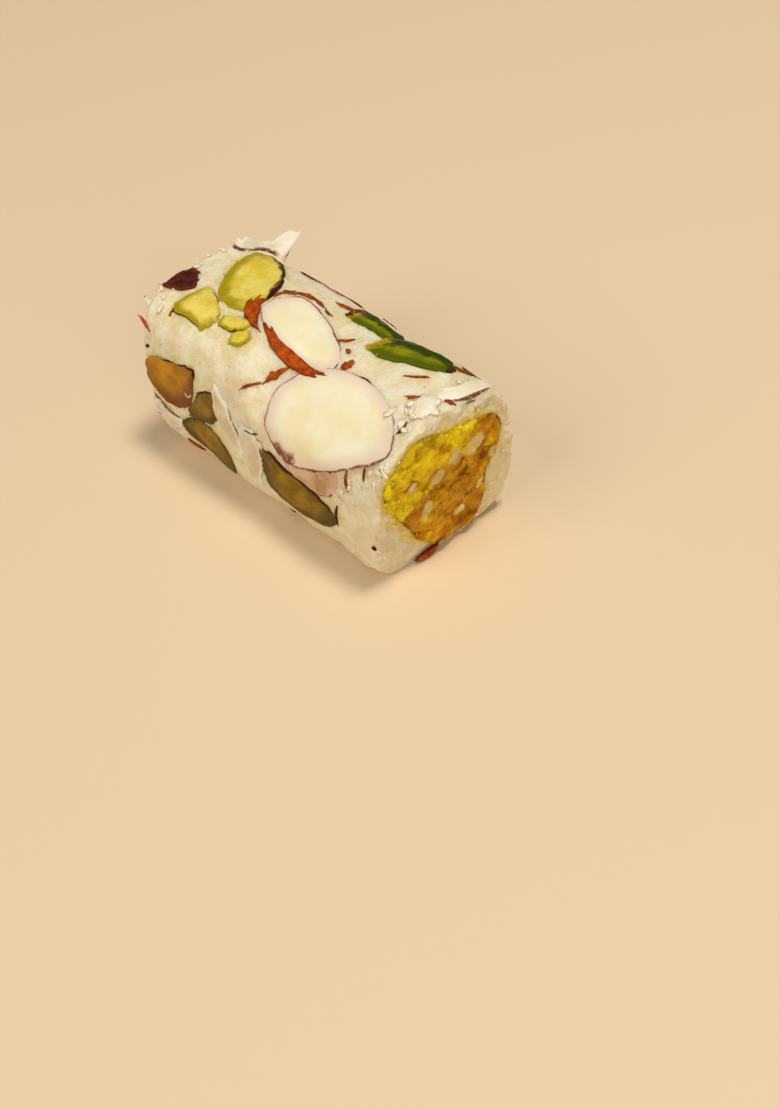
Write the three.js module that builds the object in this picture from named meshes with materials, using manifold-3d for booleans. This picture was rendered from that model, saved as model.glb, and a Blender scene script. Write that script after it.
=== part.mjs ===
// A cashew roll: a short log of pale cashew paste rolled round a golden, syrupy core and cut at
// both ends, with almond slices, pistachio pieces and shreds of nut skin pressed into its skin.
// Millimetres, +Z up. X runs along the roll towards the cut end with the deeper slant, and the
// roll lies on the flat that its own weight has pressed at z = 0.
//
// The skin is treated as a sheet: a place on it is x along the roll and girth, the length round
// the middle section from its +Y side (angle 0) over the top (angle 90). Every nut is an outline
// drawn on that sheet, and lift is the distance outwards from it.

import * as THREE from 'three';
import { ParametricGeometry } from 'three/addons/geometries/ParametricGeometry.js';
import { mergeVertices } from 'three/addons/utils/BufferGeometryUtils.js';
import Module from 'manifold-3d';

const wasm = await Module();
wasm.setup();

const TURN = 2 * Math.PI;
const { clamp, degToRad, euclideanModulo, lerp, smoothstep } = THREE.MathUtils;

// Driving dimensions of the roll
const LENGTH = 51;
const HALF_WIDTH = 12.6;
const HALF_HEIGHT = 12.8;
const SQUARENESS = 3.6;
const SECTION_LEAN = degToRad(1.5);
const SECTION_LOBES = { cos: 0.02, sin: -0.025 };
const TAPER = { width: -0.13, height: -0.03 };
const NEAR_CUT = { at: LENGTH / 2, y: 0.04, z: 0.13 };
const FAR_CUT = { at: -LENGTH / 2, y: -0.08, z: 0 };
const CUT_EDGE_RADIUS = 0.9;
const AXIS_PLACE = { x: -0.32, y: -0.55, z: 12 };
const TABLE = -AXIS_PLACE.z;

// Clear gaps: round a part that stands in a slot, round a nut in its pocket, and round the core
const GAP = 0.3;
const POCKET_GAP = 0.4;
const CORE_GAP = 0.4;

// The soft swells of a hand-rolled skin: height, waves along the roll, waves round it, phase
const SWELLS = [
  { height: 0.14, along: 2.3, round: 2, phase: 1.1 },
  { height: 0.11, along: 3.7, round: -3, phase: 2.4 },
  { height: 0.08, along: 5.1, round: 5, phase: 0.3 },
  { height: 0.05, along: 7.9, round: -8, phase: 4.0 },
];

// The core. Inside the roll it is nearly round; the knife has smeared it to a lobed outline at
// the cuts, where mean is the outline's mean radius and each lobe has a height and a bearing.
const CORE_RADIUS = 8.6;
const SMEAR_DEPTH = 3;
const THINNEST_WALL = 1.3;
const NEAR_CORE = {
  mean: 9.7,
  lobes: [[0.6, 118], [1.3, -71], [1.5, 33], [0.55, 33]],
};
const FAR_CORE = {
  mean: 8.8,
  lobes: [[0.5, 20], [0.9, 50], [0.8, 80], [0.3, 10]],
};
const CORE_PROUD = 0.35;
const CRUMB_RELIEF = 0.3;

// Steps of the meshes
const ROUND_STEPS = 48;
const SKIN_STEPS = 22;
const EDGE_STEPS = 2;
const FACE_STEPS = 2;
const BORE_STEPS = 7;
const CORE_RINGS = 4;

const FINISHES = {
  paste: { color: '#ecdfc3', roughness: 0.6 },
  core: { color: '#dca316', roughness: 0.35 },
  almond: { color: '#f1e6cd', roughness: 0.5 },
  pistachio: { color: '#cbbb3a', roughness: 0.45 },
  olive: { color: '#8f7420', roughness: 0.45 },
  green: { color: '#54701a', roughness: 0.5 },
  skin: { color: '#9a4718', roughness: 0.6 },
  darkSkin: { color: '#4b1f1f', roughness: 0.5 },
};

function finish(name) {
  return new THREE.MeshStandardMaterial({ ...FINISHES[name], metalness: 0 });
}

// ---------------------------------------------------------------- the roll's form

// Radius of the middle section: a superellipse with a slight three-sided lobe
function sectionRadius(angle) {
  const across = Math.abs(Math.cos(angle - SECTION_LEAN) / HALF_WIDTH) ** SQUARENESS;
  const upright = Math.abs(Math.sin(angle - SECTION_LEAN) / HALF_HEIGHT) ** SQUARENESS;
  const lobe = SECTION_LOBES.cos * Math.cos(3 * angle) + SECTION_LOBES.sin * Math.sin(3 * angle);
  return (across + upright) ** (-1 / SQUARENESS) * (1 + lobe);
}

// The plain form, before nuts press it in or its skin swells
function formPoint(x, angle) {
  const radius = sectionRadius(angle);
  const y = radius * Math.cos(angle) * (1 + TAPER.width * x / LENGTH);
  const z = radius * Math.sin(angle) * (1 + TAPER.height * x / LENGTH);
  return new THREE.Vector3(x, y, z);
}

function formNormal(x, angle) {
  const step = 0.01;
  const along = formPoint(x + step, angle).sub(formPoint(x - step, angle));
  const round = formPoint(x, angle + step).sub(formPoint(x, angle - step));
  return round.cross(along).normalize();
}

// Length round the middle section up to each whole step of angle
const GIRTH_STEPS = 720;
const girths = [0];
for (let i = 1; i <= GIRTH_STEPS; i++) {
  const from = formPoint(0, TURN * (i - 1) / GIRTH_STEPS);
  const to = formPoint(0, TURN * i / GIRTH_STEPS);
  girths.push(girths[i - 1] + from.distanceTo(to));
}
const GIRTH = girths[GIRTH_STEPS];

function girthAt(angle) {
  const place = GIRTH_STEPS * euclideanModulo(angle, TURN) / TURN;
  const step = Math.min(Math.floor(place), GIRTH_STEPS - 1);
  return lerp(girths[step], girths[step + 1], place - step);
}

function angleAt(girth) {
  const wanted = euclideanModulo(girth, GIRTH);
  const step = Math.max(girths.findIndex((value) => value > wanted) - 1, 0);
  const part = (wanted - girths[step]) / (girths[step + 1] - girths[step]);
  return TURN * (step + part) / GIRTH_STEPS;
}

function swell(x, angle) {
  let height = 0;
  for (const wave of SWELLS) {
    height += wave.height * Math.sin(TURN * wave.along * x / LENGTH + wave.round * angle + wave.phase);
  }
  return height;
}

// ---------------------------------------------------------------- the nuts' outlines

// What is pressed into the skin, topmost first: a later piece lies under the ones before it.
// place is [x, angle, turn] in mm and degrees, size is [length, width]. squareness is the
// outline's superellipse exponent, egg widens its +length end, bend bows it, proud and depth
// are how far it stands out and reaches in, press is how far it has flattened the skin.
const ALMONDS = {
  almond_slice_round: { place: [13.5, 136, -22], size: [22.8, 15.5], squareness: 2.3, egg: -0.15,
    bend: 2.3 },
  almond_slice_oval: { place: [0.4, 94.6, 13], size: [18, 7.1], squareness: 2.5, egg: -0.3,
    bend: 0.3, press: 0.3 },
  almond_flake_top: { place: [24.6, 96, 62], size: [4.8, 2.9], egg: -0.3, bend: -0.3 },
  almond_flake_corner: { place: [25, 66, -86], size: [8.6, 2.6], squareness: 2.8, bend: -0.8 },
  almond_flake_tan: { place: [12.4, 174, -14], size: [10.5, 3.8], squareness: 3, egg: 0.3,
    bend: -1.4 },
  almond_flake_side: { place: [-0.8, 189, -90], size: [9.6, 5], squareness: 2.4, egg: 0.15 },
  almond_flake_curved: { place: [-5.3, 173, 63], size: [10.4, 4.1], squareness: 1.8, egg: 0.1,
    bend: -1.1 },
  almond_flake_far: { place: [-20.6, 199, 17], size: [6.2, 3.6], squareness: 2.5, bend: -1.2 },
  almond_slice_back: { place: [-9, 20, 25], size: [17, 14], squareness: 2.2, egg: 0.1, press: 0.5 },
  almond_slice_back_oval: { place: [13, -8, -35], size: [14.5, 8.5], squareness: 2.3, egg: -0.2,
    bend: 0.5, press: 0.2 },
  almond_slice_under: { place: [9.8, 270, 20], size: [13, 10], squareness: 2.2, egg: 0.1 },
  almond_flake_under: { place: [18, 229, -60], size: [8, 4.6], squareness: 2.2, egg: 0.2, bend: 0.5 },
};

const SKINS = {
  skin_of_oval_far: { place: [-8, 102, 41], size: [8, 2], squareness: 2.2, egg: -0.6, bend: -1 },
  skin_of_oval_low: { place: [1.8, 110.5, 5], size: [13, 1.9], squareness: 2.2, bend: -1.3 },
  skin_chip_dark: { place: [-23.1, 110, -55], size: [5.4, 3.8], squareness: 3.4, egg: 0.85,
    dark: true },
  skin_chip_back: { place: [4.5, 31, -40], size: [6, 1.8], bend: 0.8 },
};

const PISTACHIOS = {
  pistachio_chunk_large: { place: [-15.2, 80, 48], size: [15.2, 8.8], squareness: 2.1, egg: 0.18 },
  pistachio_chunk_square: { place: [-15.5, 118, 14], size: [8.2, 5], squareness: 4, egg: -0.35,
    bend: 0.7 },
  pistachio_bit_low: { place: [-5.9, 120.5, -28], size: [3.6, 2.6] },
  pistachio_bit_high: { place: [-8.7, 114.8, -16], size: [5, 2.6], squareness: 2.2 },
  pistachio_back_chunk: { place: [20, 33, 40], size: [7.6, 5.6], squareness: 2.6, egg: 0.2 },
  pistachio_back_square: { place: [-20.5, -14, 20], size: [6.4, 5.8], squareness: 3.2, egg: 0.1 },
  pistachio_under_chunk: { place: [-13, 246, -15], size: [9, 5.4], squareness: 2.4, egg: 0.2,
    bend: 0.3 },
};

const OLIVE_PISTACHIOS = {
  pistachio_side_short: { place: [-10.8, 174, -41], size: [10.8, 4.6], squareness: 1.6, egg: 0.3,
    bend: -0.9 },
  pistachio_side_long: { place: [-17.3, 165.5, -27], size: [13.8, 7.6], squareness: 1.8, egg: -0.45,
    bend: -1.5 },
  pistachio_side_low: { place: [-11, 204, 14], size: [12.6, 6.8], squareness: 1.8, egg: 0.1,
    bend: 1.1 },
  pistachio_side_sliver: { place: [8.9, 195.3, 9.5], size: [14.9, 6.6], squareness: 2.7, egg: -0.3,
    bend: -1.9 },
  pistachio_under_sliver: { place: [-7, 300, 8], size: [11, 3.4], squareness: 2.2, egg: -0.2,
    bend: 0.4 },
};

const GREEN_PISTACHIOS = {
  pistachio_sliver_thin: { place: [6.3, 61.5, 0], size: [10, 3.4], squareness: 2.8, egg: -0.1,
    bend: 0.4, proud: 0.6 },
  pistachio_sliver_thick: { place: [15.3, 67.5, -17], size: [12.4, 5.2], squareness: 2.4, egg: -0.25,
    bend: 0.8, proud: 0.8 },
  pistachio_back_sliver: { place: [3.5, -35, 12], size: [12, 3.6], squareness: 2.2, egg: -0.2,
    bend: 0.6 },
};

// Shreds of brown almond skin small enough to be one with the paste: [x, angle, turn, length]
const SHREDS = [
  [-0.7, 140, -46, 3.1], [1.3, 127, -67, 4.7], [5.9, 84.7, -36, 2.7], [10.5, 99.5, -79, 1.9],
  [-0.7, 60, -12, 3.2], [22.5, 93.6, -23, 3.6], [20.9, 53, -36, 2.8], [19.6, 160, 80, 2.5],
  [-23.7, 140.8, 26, 3.1], [-10.3, 49, 0, 5.8], [12, 15, -20, 3], [-16, 215, 25, 3.2],
];
const SHRED_WIDTH = 0.8;
const SHRED_PROUD = 0.25;
const SHRED_RIM_LIFT = 0.1;
const SHRED_SIDES = 6;

const DEFAULT_SLICE = { squareness: 2, egg: 0, bend: 0, proud: 0.25, depth: 1.1, press: 0 };
const SKIN_DEPTH = 0.8;
const PISTACHIO_DEPTH = 1.9;

// The flat that the round slice has pressed into the paste's upper front corner: the way it
// faces, the skin place it is measured from, its depth there, how softly the skin turns into it,
// how far it fades beyond the slice, and what is left of it at the near cut
const FLAT = {
  facing: new THREE.Vector3(0, Math.cos(degToRad(130)), Math.sin(degToRad(130))),
  x: 14.2, angle: degToRad(137), depth: 2.2, softness: 1, fadeFrom: 0.3, fadeTo: 6,
  weakerFrom: 20, leftAtCut: 0.65,
};

function laid(name, material, piece) {
  const [x, angle, turn] = piece.place;
  const [length, width] = piece.size;
  const girth = girthAt(degToRad(angle));
  return { ...DEFAULT_SLICE, ...piece, name, material, x, girth, turn: degToRad(turn), length, width };
}

function laidAll(pieces, material, extra = {}) {
  return Object.entries(pieces).map(([name, piece]) => {
    return laid(name, piece.dark ? 'darkSkin' : material, { ...extra, ...piece });
  });
}

const NUTS = [
  ...laidAll(ALMONDS, 'almond'),
  ...laidAll(SKINS, 'skin', { depth: SKIN_DEPTH }),
  ...laidAll(PISTACHIOS, 'pistachio', { depth: PISTACHIO_DEPTH }),
  ...laidAll(OLIVE_PISTACHIOS, 'olive', { depth: PISTACHIO_DEPTH }),
  ...laidAll(GREEN_PISTACHIOS, 'green', { depth: PISTACHIO_DEPTH }),
];

// A place on the sheet as lengths along and across a nut from its middle
function onNut(nut, x, girth) {
  const round = girth - nut.girth;
  const v = round - GIRTH * Math.round(round / GIRTH);
  const u = x - nut.x;
  return {
    along: u * Math.cos(nut.turn) + v * Math.sin(nut.turn),
    across: v * Math.cos(nut.turn) - u * Math.sin(nut.turn),
  };
}

// Distance of a place on the sheet from a nut's rim, less than 0 inside it: the outline's
// superellipse value less one, over its slope
const SLOPE_STEP = 0.05;
const LEAST_SLOPE = 0.03;
const BOW_REACH = 1.2;

function fromOutline(nut, x, girth) {
  const place = onNut(nut, x, girth);
  const value = (stepAlong, stepAcross) => {
    const along = 2 * (place.along + stepAlong) / nut.length;
    const half = nut.width / 2 * (1 + nut.egg * clamp(along, -1, 1));
    const bow = nut.bend * (clamp(along, -BOW_REACH, BOW_REACH) ** 2 - 0.5);
    const across = (place.across + stepAcross - bow) / half;
    return (Math.abs(along) ** nut.squareness + Math.abs(across) ** nut.squareness) ** (1 / nut.squareness);
  };
  const here = value(0, 0);
  const slope = Math.hypot(value(SLOPE_STEP, 0) - here, value(0, SLOPE_STEP) - here) / SLOPE_STEP;
  return (here - 1) / Math.max(slope, LEAST_SLOPE);
}

// How far the paste has given way under the round slice, which lies flat across the corner: the
// height of the plain skin above the flat, eased off beyond the slice and towards the near cut
const roundSlice = NUTS.find((nut) => nut.name === 'almond_slice_round');
const flatHeight = formPoint(FLAT.x, FLAT.angle).dot(FLAT.facing) - FLAT.depth;

function flattened(x, angle) {
  const normal = formNormal(x, angle);
  const above = formPoint(x, angle).addScaledVector(normal, swell(x, angle)).dot(FLAT.facing) - flatHeight;
  const height = (above + Math.hypot(above, FLAT.softness)) / 2;
  const beyond = smoothstep(fromOutline(roundSlice, x, girthAt(angle)), FLAT.fadeFrom, FLAT.fadeTo);
  const nearCut = lerp(1, FLAT.leftAtCut, smoothstep(x, FLAT.weakerFrom, NEAR_CUT.at));
  return (1 - beyond) * nearCut * height / Math.max(normal.dot(FLAT.facing), 0.5);
}

// How far the nuts have flattened the skin at a place on it
function pressedIn(x, angle) {
  let depth = flattened(x, angle);
  for (const nut of NUTS.filter((each) => each.press > 0)) {
    const { along, across } = onNut(nut, x, girthAt(angle));
    const square = (2 * along / nut.length) ** 2 + (2 * across / nut.width) ** 2;
    depth += nut.press * Math.exp(-(square ** 2));
  }
  return depth;
}

// A point of the finished skin, or lift outside it
function skinPoint(x, angle, lift = 0) {
  const outwards = lift + swell(x, angle) - pressedIn(x, angle);
  return formPoint(x, angle).addScaledVector(formNormal(x, angle), outwards);
}

// The underside is pressed flat on the table
function ontoTable(point) {
  point.z = Math.max(point.z, TABLE);
  return point;
}

// ---------------------------------------------------------------- solids and joining

// A closed solid from a closed parametric surface: seams are merged and empty faces dropped
function solid(surface, slices, stacks) {
  let geometry = new ParametricGeometry((u, v, target) => target.copy(surface(u, v)), slices, stacks);
  geometry.deleteAttribute('normal');
  geometry.deleteAttribute('uv');
  geometry = mergeVertices(geometry, 1e-4);
  const index = geometry.index.array;
  const triangles = [];
  for (let i = 0; i < index.length; i += 3) {
    const [a, b, c] = [index[i], index[i + 1], index[i + 2]];
    if (a !== b && b !== c && c !== a) triangles.push(a, b, c);
  }
  const vertProperties = new Float32Array(geometry.attributes.position.array);
  const triVerts = new Uint32Array(triangles);
  return new wasm.Manifold(new wasm.Mesh({ numProp: 3, vertProperties, triVerts }));
}

function largest(body) {
  return body.decompose().sort((a, b) => b.volume() - a.volume())[0];
}

function mesh(name, body, material) {
  const { vertProperties, triVerts } = body.getMesh();
  const geometry = new THREE.BufferGeometry();
  geometry.setAttribute('position', new THREE.BufferAttribute(vertProperties, 3));
  geometry.setIndex(new THREE.BufferAttribute(triVerts, 1));
  geometry.computeVertexNormals();
  const part = new THREE.Mesh(geometry, finish(material));
  part.name = name;
  return part;
}

// ---------------------------------------------------------------- the core and the two cuts

function coreRadius(core, angle) {
  let radius = core.mean;
  core.lobes.forEach(([height, bearing], i) => {
    radius += height * Math.cos((i + 1) * (angle - degToRad(bearing)));
  });
  return radius;
}

// Radius of the bore in the paste at x: round inside, the smeared outline at each cut
function boreRadius(x, angle) {
  const nearness = smoothstep(x, NEAR_CUT.at - SMEAR_DEPTH, NEAR_CUT.at);
  const farness = smoothstep(-x, -FAR_CUT.at - SMEAR_DEPTH, -FAR_CUT.at);
  const inner = lerp(CORE_RADIUS, coreRadius(NEAR_CORE, angle), nearness);
  const radius = lerp(inner, coreRadius(FAR_CORE, angle), farness);
  const skin = skinPoint(x, angle);
  const pressed = Math.min(Math.max(skin.z, TABLE) / skin.z, 1);
  return Math.min(radius, Math.hypot(skin.y, skin.z) * pressed - THINNEST_WALL);
}

// x of a cut face over a place (y, z) of the section
function cutAt(cut, y, z) {
  return cut.at + cut.y * y + cut.z * z;
}

// The torn, sugary grain of a cut through the core
function crumble(y, z) {
  const coarse = Math.sin(1.9 * y + 1.1 * z) * Math.sin(1.3 * z - 0.7 * y + 2);
  const fine = Math.sin(3.7 * y - 2.9 * z + 1) * Math.sin(4.3 * z + 1.7 * y);
  return CRUMB_RELIEF * (coarse + 0.6 * fine);
}

function skinOnCut(cut, angle, lift) {
  const edge = skinPoint(cut.at, angle, lift);
  return skinPoint(cutAt(cut, edge.y, edge.z), angle, lift);
}

// Where the paste's outer skin begins to turn over into a cut
function skinEnd(cut, angle) {
  return skinOnCut(cut, angle, 0).x - Math.sign(cut.at) * CUT_EDGE_RADIUS;
}

function cutEdgePoint(cut, angle, part) {
  const bow = part * Math.PI / 2;
  const x = skinEnd(cut, angle) + Math.sign(cut.at) * CUT_EDGE_RADIUS * Math.sin(bow);
  return skinPoint(x, angle, -CUT_EDGE_RADIUS * (1 - Math.cos(bow)));
}

function borePoint(x, angle, inset = 0) {
  const radius = boreRadius(x, angle) - inset;
  return new THREE.Vector3(x, radius * Math.cos(angle), radius * Math.sin(angle));
}

function boreRim(cut, angle, inset = 0) {
  const rim = borePoint(cut.at, angle, inset);
  rim.x = cutAt(cut, rim.y, rim.z);
  return rim;
}

function cutFacePoint(cut, angle, part) {
  return cutEdgePoint(cut, angle, 1).lerp(boreRim(cut, angle), part);
}

// The paste's closed outline at an angle: skin, near edge and cut, bore, far cut and edge
function pasteStations() {
  const stations = [];
  const steps = (count, point) => {
    for (let i = 0; i < count; i++) stations.push((angle) => point(angle, i / count));
  };
  steps(SKIN_STEPS, (angle, t) => {
    return skinPoint(lerp(skinEnd(FAR_CUT, angle), skinEnd(NEAR_CUT, angle), t), angle);
  });
  steps(EDGE_STEPS, (angle, t) => cutEdgePoint(NEAR_CUT, angle, t));
  steps(FACE_STEPS, (angle, t) => cutFacePoint(NEAR_CUT, angle, t));
  steps(BORE_STEPS, (angle, t) => {
    const spread = (1 - Math.cos(Math.PI * t)) / 2;
    const near = boreRim(NEAR_CUT, angle);
    const far = boreRim(FAR_CUT, angle);
    return t === 0 ? near : borePoint(lerp(near.x, far.x, spread), angle);
  });
  steps(FACE_STEPS, (angle, t) => cutFacePoint(FAR_CUT, angle, 1 - t));
  steps(EDGE_STEPS, (angle, t) => cutEdgePoint(FAR_CUT, angle, 1 - t));
  return stations;
}

function cashewPaste() {
  const stations = pasteStations();
  const surface = (u, v) => {
    const station = stations[Math.round(v * stations.length) % stations.length];
    return ontoTable(station(TURN * (Math.round(u * ROUND_STEPS) % ROUND_STEPS) / ROUND_STEPS));
  };
  return solid(surface, ROUND_STEPS, stations.length);
}

// The core fills the bore with a gap of GAP, and stands a little proud and crumbly at each cut
function coreBody() {
  const surface = (u, v) => {
    const angle = TURN * (Math.round(u * ROUND_STEPS) % ROUND_STEPS) / ROUND_STEPS;
    const step = Math.round(v * (2 * CORE_RINGS + BORE_STEPS));
    if (step > CORE_RINGS && step < CORE_RINGS + BORE_STEPS) {
      const spread = (1 - Math.cos(Math.PI * (step - CORE_RINGS) / BORE_STEPS)) / 2;
      const x = lerp(boreRim(FAR_CUT, angle).x, boreRim(NEAR_CUT, angle).x, spread);
      return borePoint(x, angle, CORE_GAP);
    }
    const far = step <= CORE_RINGS;
    const cut = far ? FAR_CUT : NEAR_CUT;
    const ring = far ? step : 2 * CORE_RINGS + BORE_STEPS - step;
    const rim = boreRim(cut, angle, CORE_GAP);
    const y = rim.y * ring / CORE_RINGS;
    const z = rim.z * ring / CORE_RINGS;
    const proud = ring === CORE_RINGS ? 0 : CORE_PROUD + crumble(y, z);
    return new THREE.Vector3(cutAt(cut, y, z) + Math.sign(cut.at) * proud, y, z);
  };
  return solid(surface, ROUND_STEPS, 2 * CORE_RINGS + BORE_STEPS);
}

// Pieces that lie in the near cut, as lens shapes half sunk in it: [y, z, turn, length, width]
const CORE_BITS = [
  [4.4, 4.6, 20, 3, 2.4], [0.9, 5, 80, 2.8, 1.8], [-1.7, 2.6, 70, 2.4, 1.8], [-3.6, -2.2, 60, 3.2, 1.4],
];
const CUT_SKIN = [-3.3, -11.2, 8, 4.2, 1.2];
const LENS_THICKNESS = 0.9;
const LENS_SIDES = 8;
const LENS_STACKS = 4;

function lensOnCut([y, z, turn, length, width], grow = 0) {
  const centre = new THREE.Vector3(cutAt(NEAR_CUT, y, z), y, z);
  const sizes = [LENS_THICKNESS, length, width].map((size) => size / 2 + grow);
  const shape = new THREE.Matrix4().makeRotationX(degToRad(turn));
  shape.multiply(new THREE.Matrix4().makeScale(...sizes)).setPosition(centre);
  const surface = (u, v) => {
    const round = TURN * (Math.round(u * LENS_SIDES) % LENS_SIDES) / LENS_SIDES;
    return new THREE.Vector3().setFromSphericalCoords(1, Math.PI * (1 - v), round).applyMatrix4(shape);
  };
  return solid(surface, LENS_SIDES, LENS_STACKS);
}

function core() {
  return CORE_BITS.reduce((body, bit) => body.add(lensOnCut(bit)), coreBody());
}

// ---------------------------------------------------------------- nuts in the skin

// Place on the sheet of the point at reach (0 centre, 1 rim) and bearing of a nut's outline:
// a superellipse, widened towards one end, bowed, and turned
function outlinePlace(nut, bearing, reach, grow) {
  const power = 2 / nut.squareness;
  const along = Math.sign(Math.cos(bearing)) * Math.abs(Math.cos(bearing)) ** power;
  const across = Math.sign(Math.sin(bearing)) * Math.abs(Math.sin(bearing)) ** power;
  const u = reach * along * (nut.length / 2 + grow);
  const bow = nut.bend * ((reach * along) ** 2 - 0.5);
  const v = reach * across * (1 + nut.egg * along) * (nut.width / 2 + grow) + bow;
  return {
    x: nut.x + u * Math.cos(nut.turn) - v * Math.sin(nut.turn),
    girth: nut.girth + u * Math.sin(nut.turn) + v * Math.cos(nut.turn),
  };
}

// A nut from the middle of its outer face, over its rim, to the middle of its inner face.
// Each ring has a reach and a lift.
function nutSolid(nut, rings, grow, sides) {
  const surface = (u, v) => {
    const ring = rings[Math.round(v * (rings.length - 1))];
    const bearing = TURN * (Math.round(u * sides) % sides) / sides;
    const place = outlinePlace(nut, bearing, ring.reach, grow);
    return ontoTable(skinPoint(place.x, angleAt(place.girth), ring.lift));
  };
  return solid(surface, sides, rings.length - 1);
}

// Lengths above which a nut's outline gets more sides and its inner face another ring
const LONG_NUT = 9;
const LONGEST_NUTS = 16;

function outlineSides(nut) {
  if (nut.length > LONGEST_NUTS) return 20;
  return nut.length > LONG_NUT ? 14 : 10;
}

// Rings of the inner face, which a long piece carries round the bow of the roll
function innerRings(nut, depth) {
  const reaches = nut.length > LONG_NUT ? [0.8, 0.4, 0] : [0.8, 0];
  return reaches.map((reach) => ({ reach, lift: -depth }));
}

// The outer face is a little crowned: its reaches, and the share of the nut's height at each
const CROWN = [{ reach: 0, share: 1 }, { reach: 0.62, share: 0.9 }, { reach: 1, share: 0.3 }];

function nutBody(nut) {
  const rings = [
    ...CROWN.map(({ reach, share }) => ({ reach, lift: nut.proud * share })),
    ...innerRings(nut, nut.depth),
  ];
  return nutSolid(nut, rings, 0, outlineSides(nut));
}

// The pocket that a nut leaves in what it is pressed into, open outwards
const POCKET_OPENING = 1.5;

function pocket(nut) {
  const rings = [
    ...CROWN.map(({ reach }) => ({ reach, lift: nut.proud + POCKET_OPENING })),
    { reach: 1, lift: -GAP },
    ...innerRings(nut, nut.depth + GAP),
  ];
  return nutSolid(nut, rings, POCKET_GAP, outlineSides(nut));
}

function shredBody([x, angle, turn, length]) {
  const size = [length, SHRED_WIDTH];
  const shred = laid('shred', 'skin', { place: [x, angle, turn], size, proud: SHRED_PROUD });
  const rings = [
    { reach: 0, lift: SHRED_PROUD },
    { reach: 1, lift: SHRED_RIM_LIFT },
    { reach: 0.8, lift: -SHRED_PROUD },
    { reach: 0, lift: -SHRED_PROUD },
  ];
  return nutSolid(shred, rings, 0, SHRED_SIDES);
}

// ---------------------------------------------------------------- the flake that stands up

// A curled almond flake stands on the far end's upper back edge. Its base runs from one skin
// place [x, angle] to the other. It rises to a low hump, dips, and ends in a tall tip that leans
// outwards. humpEnd, tipFrom, tipTo and leanFrom are shares of its base.
const CURL = {
  from: [-25, 68], to: [-19.8, 45], sunk: 1, thickness: 0.7, steps: 12, lowest: 1,
  hump: 2.4, humpEnd: 0.74, tip: 4.9, tipFrom: 0.58, tipTo: 0.95, tipReach: 0.75,
  leanFrom: 0.5, wave: 0.8, lean: 0.1,
};

function curlHeight(t) {
  const hump = CURL.hump * Math.sin(Math.PI * Math.min(t / CURL.humpEnd, 1));
  return Math.max(hump, CURL.tip * smoothstep(t, CURL.tipFrom, CURL.tipTo), CURL.lowest);
}

// The flake, or with grow the slot that it stands in
function standingFlake(grow = 0) {
  const start = skinPoint(CURL.from[0], degToRad(CURL.from[1]));
  const end = skinPoint(CURL.to[0], degToRad(CURL.to[1]));
  const base = end.clone().sub(start);
  const side = base.clone().cross(new THREE.Vector3(0, 0, 1)).normalize();
  const longer = 2 * grow / base.length();
  const sunk = CURL.sunk + grow;
  const profile = [[1, 0], [1, 0.5], [1, 1], [-1, 1], [-1, 0.5], [-1, 0]];
  const surface = (u, v) => {
    const step = Math.round(u * CURL.steps);
    const t = clamp((step - 0.5) / (CURL.steps - 1), 0, 1);
    const atEnd = step === 0 || step === CURL.steps;
    const [flank, level] = profile[Math.round(v * profile.length) % profile.length];
    const height = (atEnd ? 0.5 : level) * (curlHeight(t) + sunk) - sunk;
    const wave = CURL.wave * Math.sin(TURN * t) - CURL.lean * Math.max(height, 0) ** 2;
    const halfThickness = atEnd ? 0 : CURL.thickness / 2 + grow;
    const overhang = CURL.tipReach * Math.max(height, 0) * smoothstep(t, CURL.leanFrom, 1) / base.length();
    const point = start.clone().addScaledVector(base, t + longer * (t - 0.5) + overhang);
    point.addScaledVector(side, flank * halfThickness + wave);
    point.z += height;
    return point;
  };
  return solid(surface, CURL.steps, profile.length);
}

// ---------------------------------------------------------------- assembly

function cutRoll() {
  const roll = new THREE.Group();
  roll.position.set(AXIS_PLACE.x, AXIS_PLACE.y, AXIS_PLACE.z);

  const pockets = [standingFlake(GAP)];
  let paste = SHREDS.reduce((body, shred) => body.add(shredBody(shred)), cashewPaste());
  paste = paste.subtract(pockets[0]).subtract(lensOnCut(CUT_SKIN, GAP));
  for (const nut of NUTS) {
    const body = pockets.reduce((rest, each) => rest.subtract(each), nutBody(nut));
    roll.add(mesh(nut.name, largest(body), nut.material));
    pockets.push(pocket(nut));
    paste = paste.subtract(pockets.at(-1));
  }
  roll.add(mesh('almond_flake_standing', standingFlake(), 'almond'));
  roll.add(mesh('skin_chip_on_cut', lensOnCut(CUT_SKIN), 'skin'));
  roll.add(mesh('cashew_paste', largest(paste), 'paste'));
  roll.add(mesh('golden_core', core(), 'core'));
  return roll;
}

const cashewRoll = new THREE.Group();
cashewRoll.add(cutRoll());

export default cashewRoll;
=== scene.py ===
"""A cut cashew roll, dressed round its CAD frame.

Lengths are worked out in millimetres about the roll's own axis: x runs along the roll, and angle
goes round it from the +Y side (0) over the top (90). Meshes are put into metres in the frame.
"""

import math

import bpy
import numpy as np
from mathutils import Matrix, Vector


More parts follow.
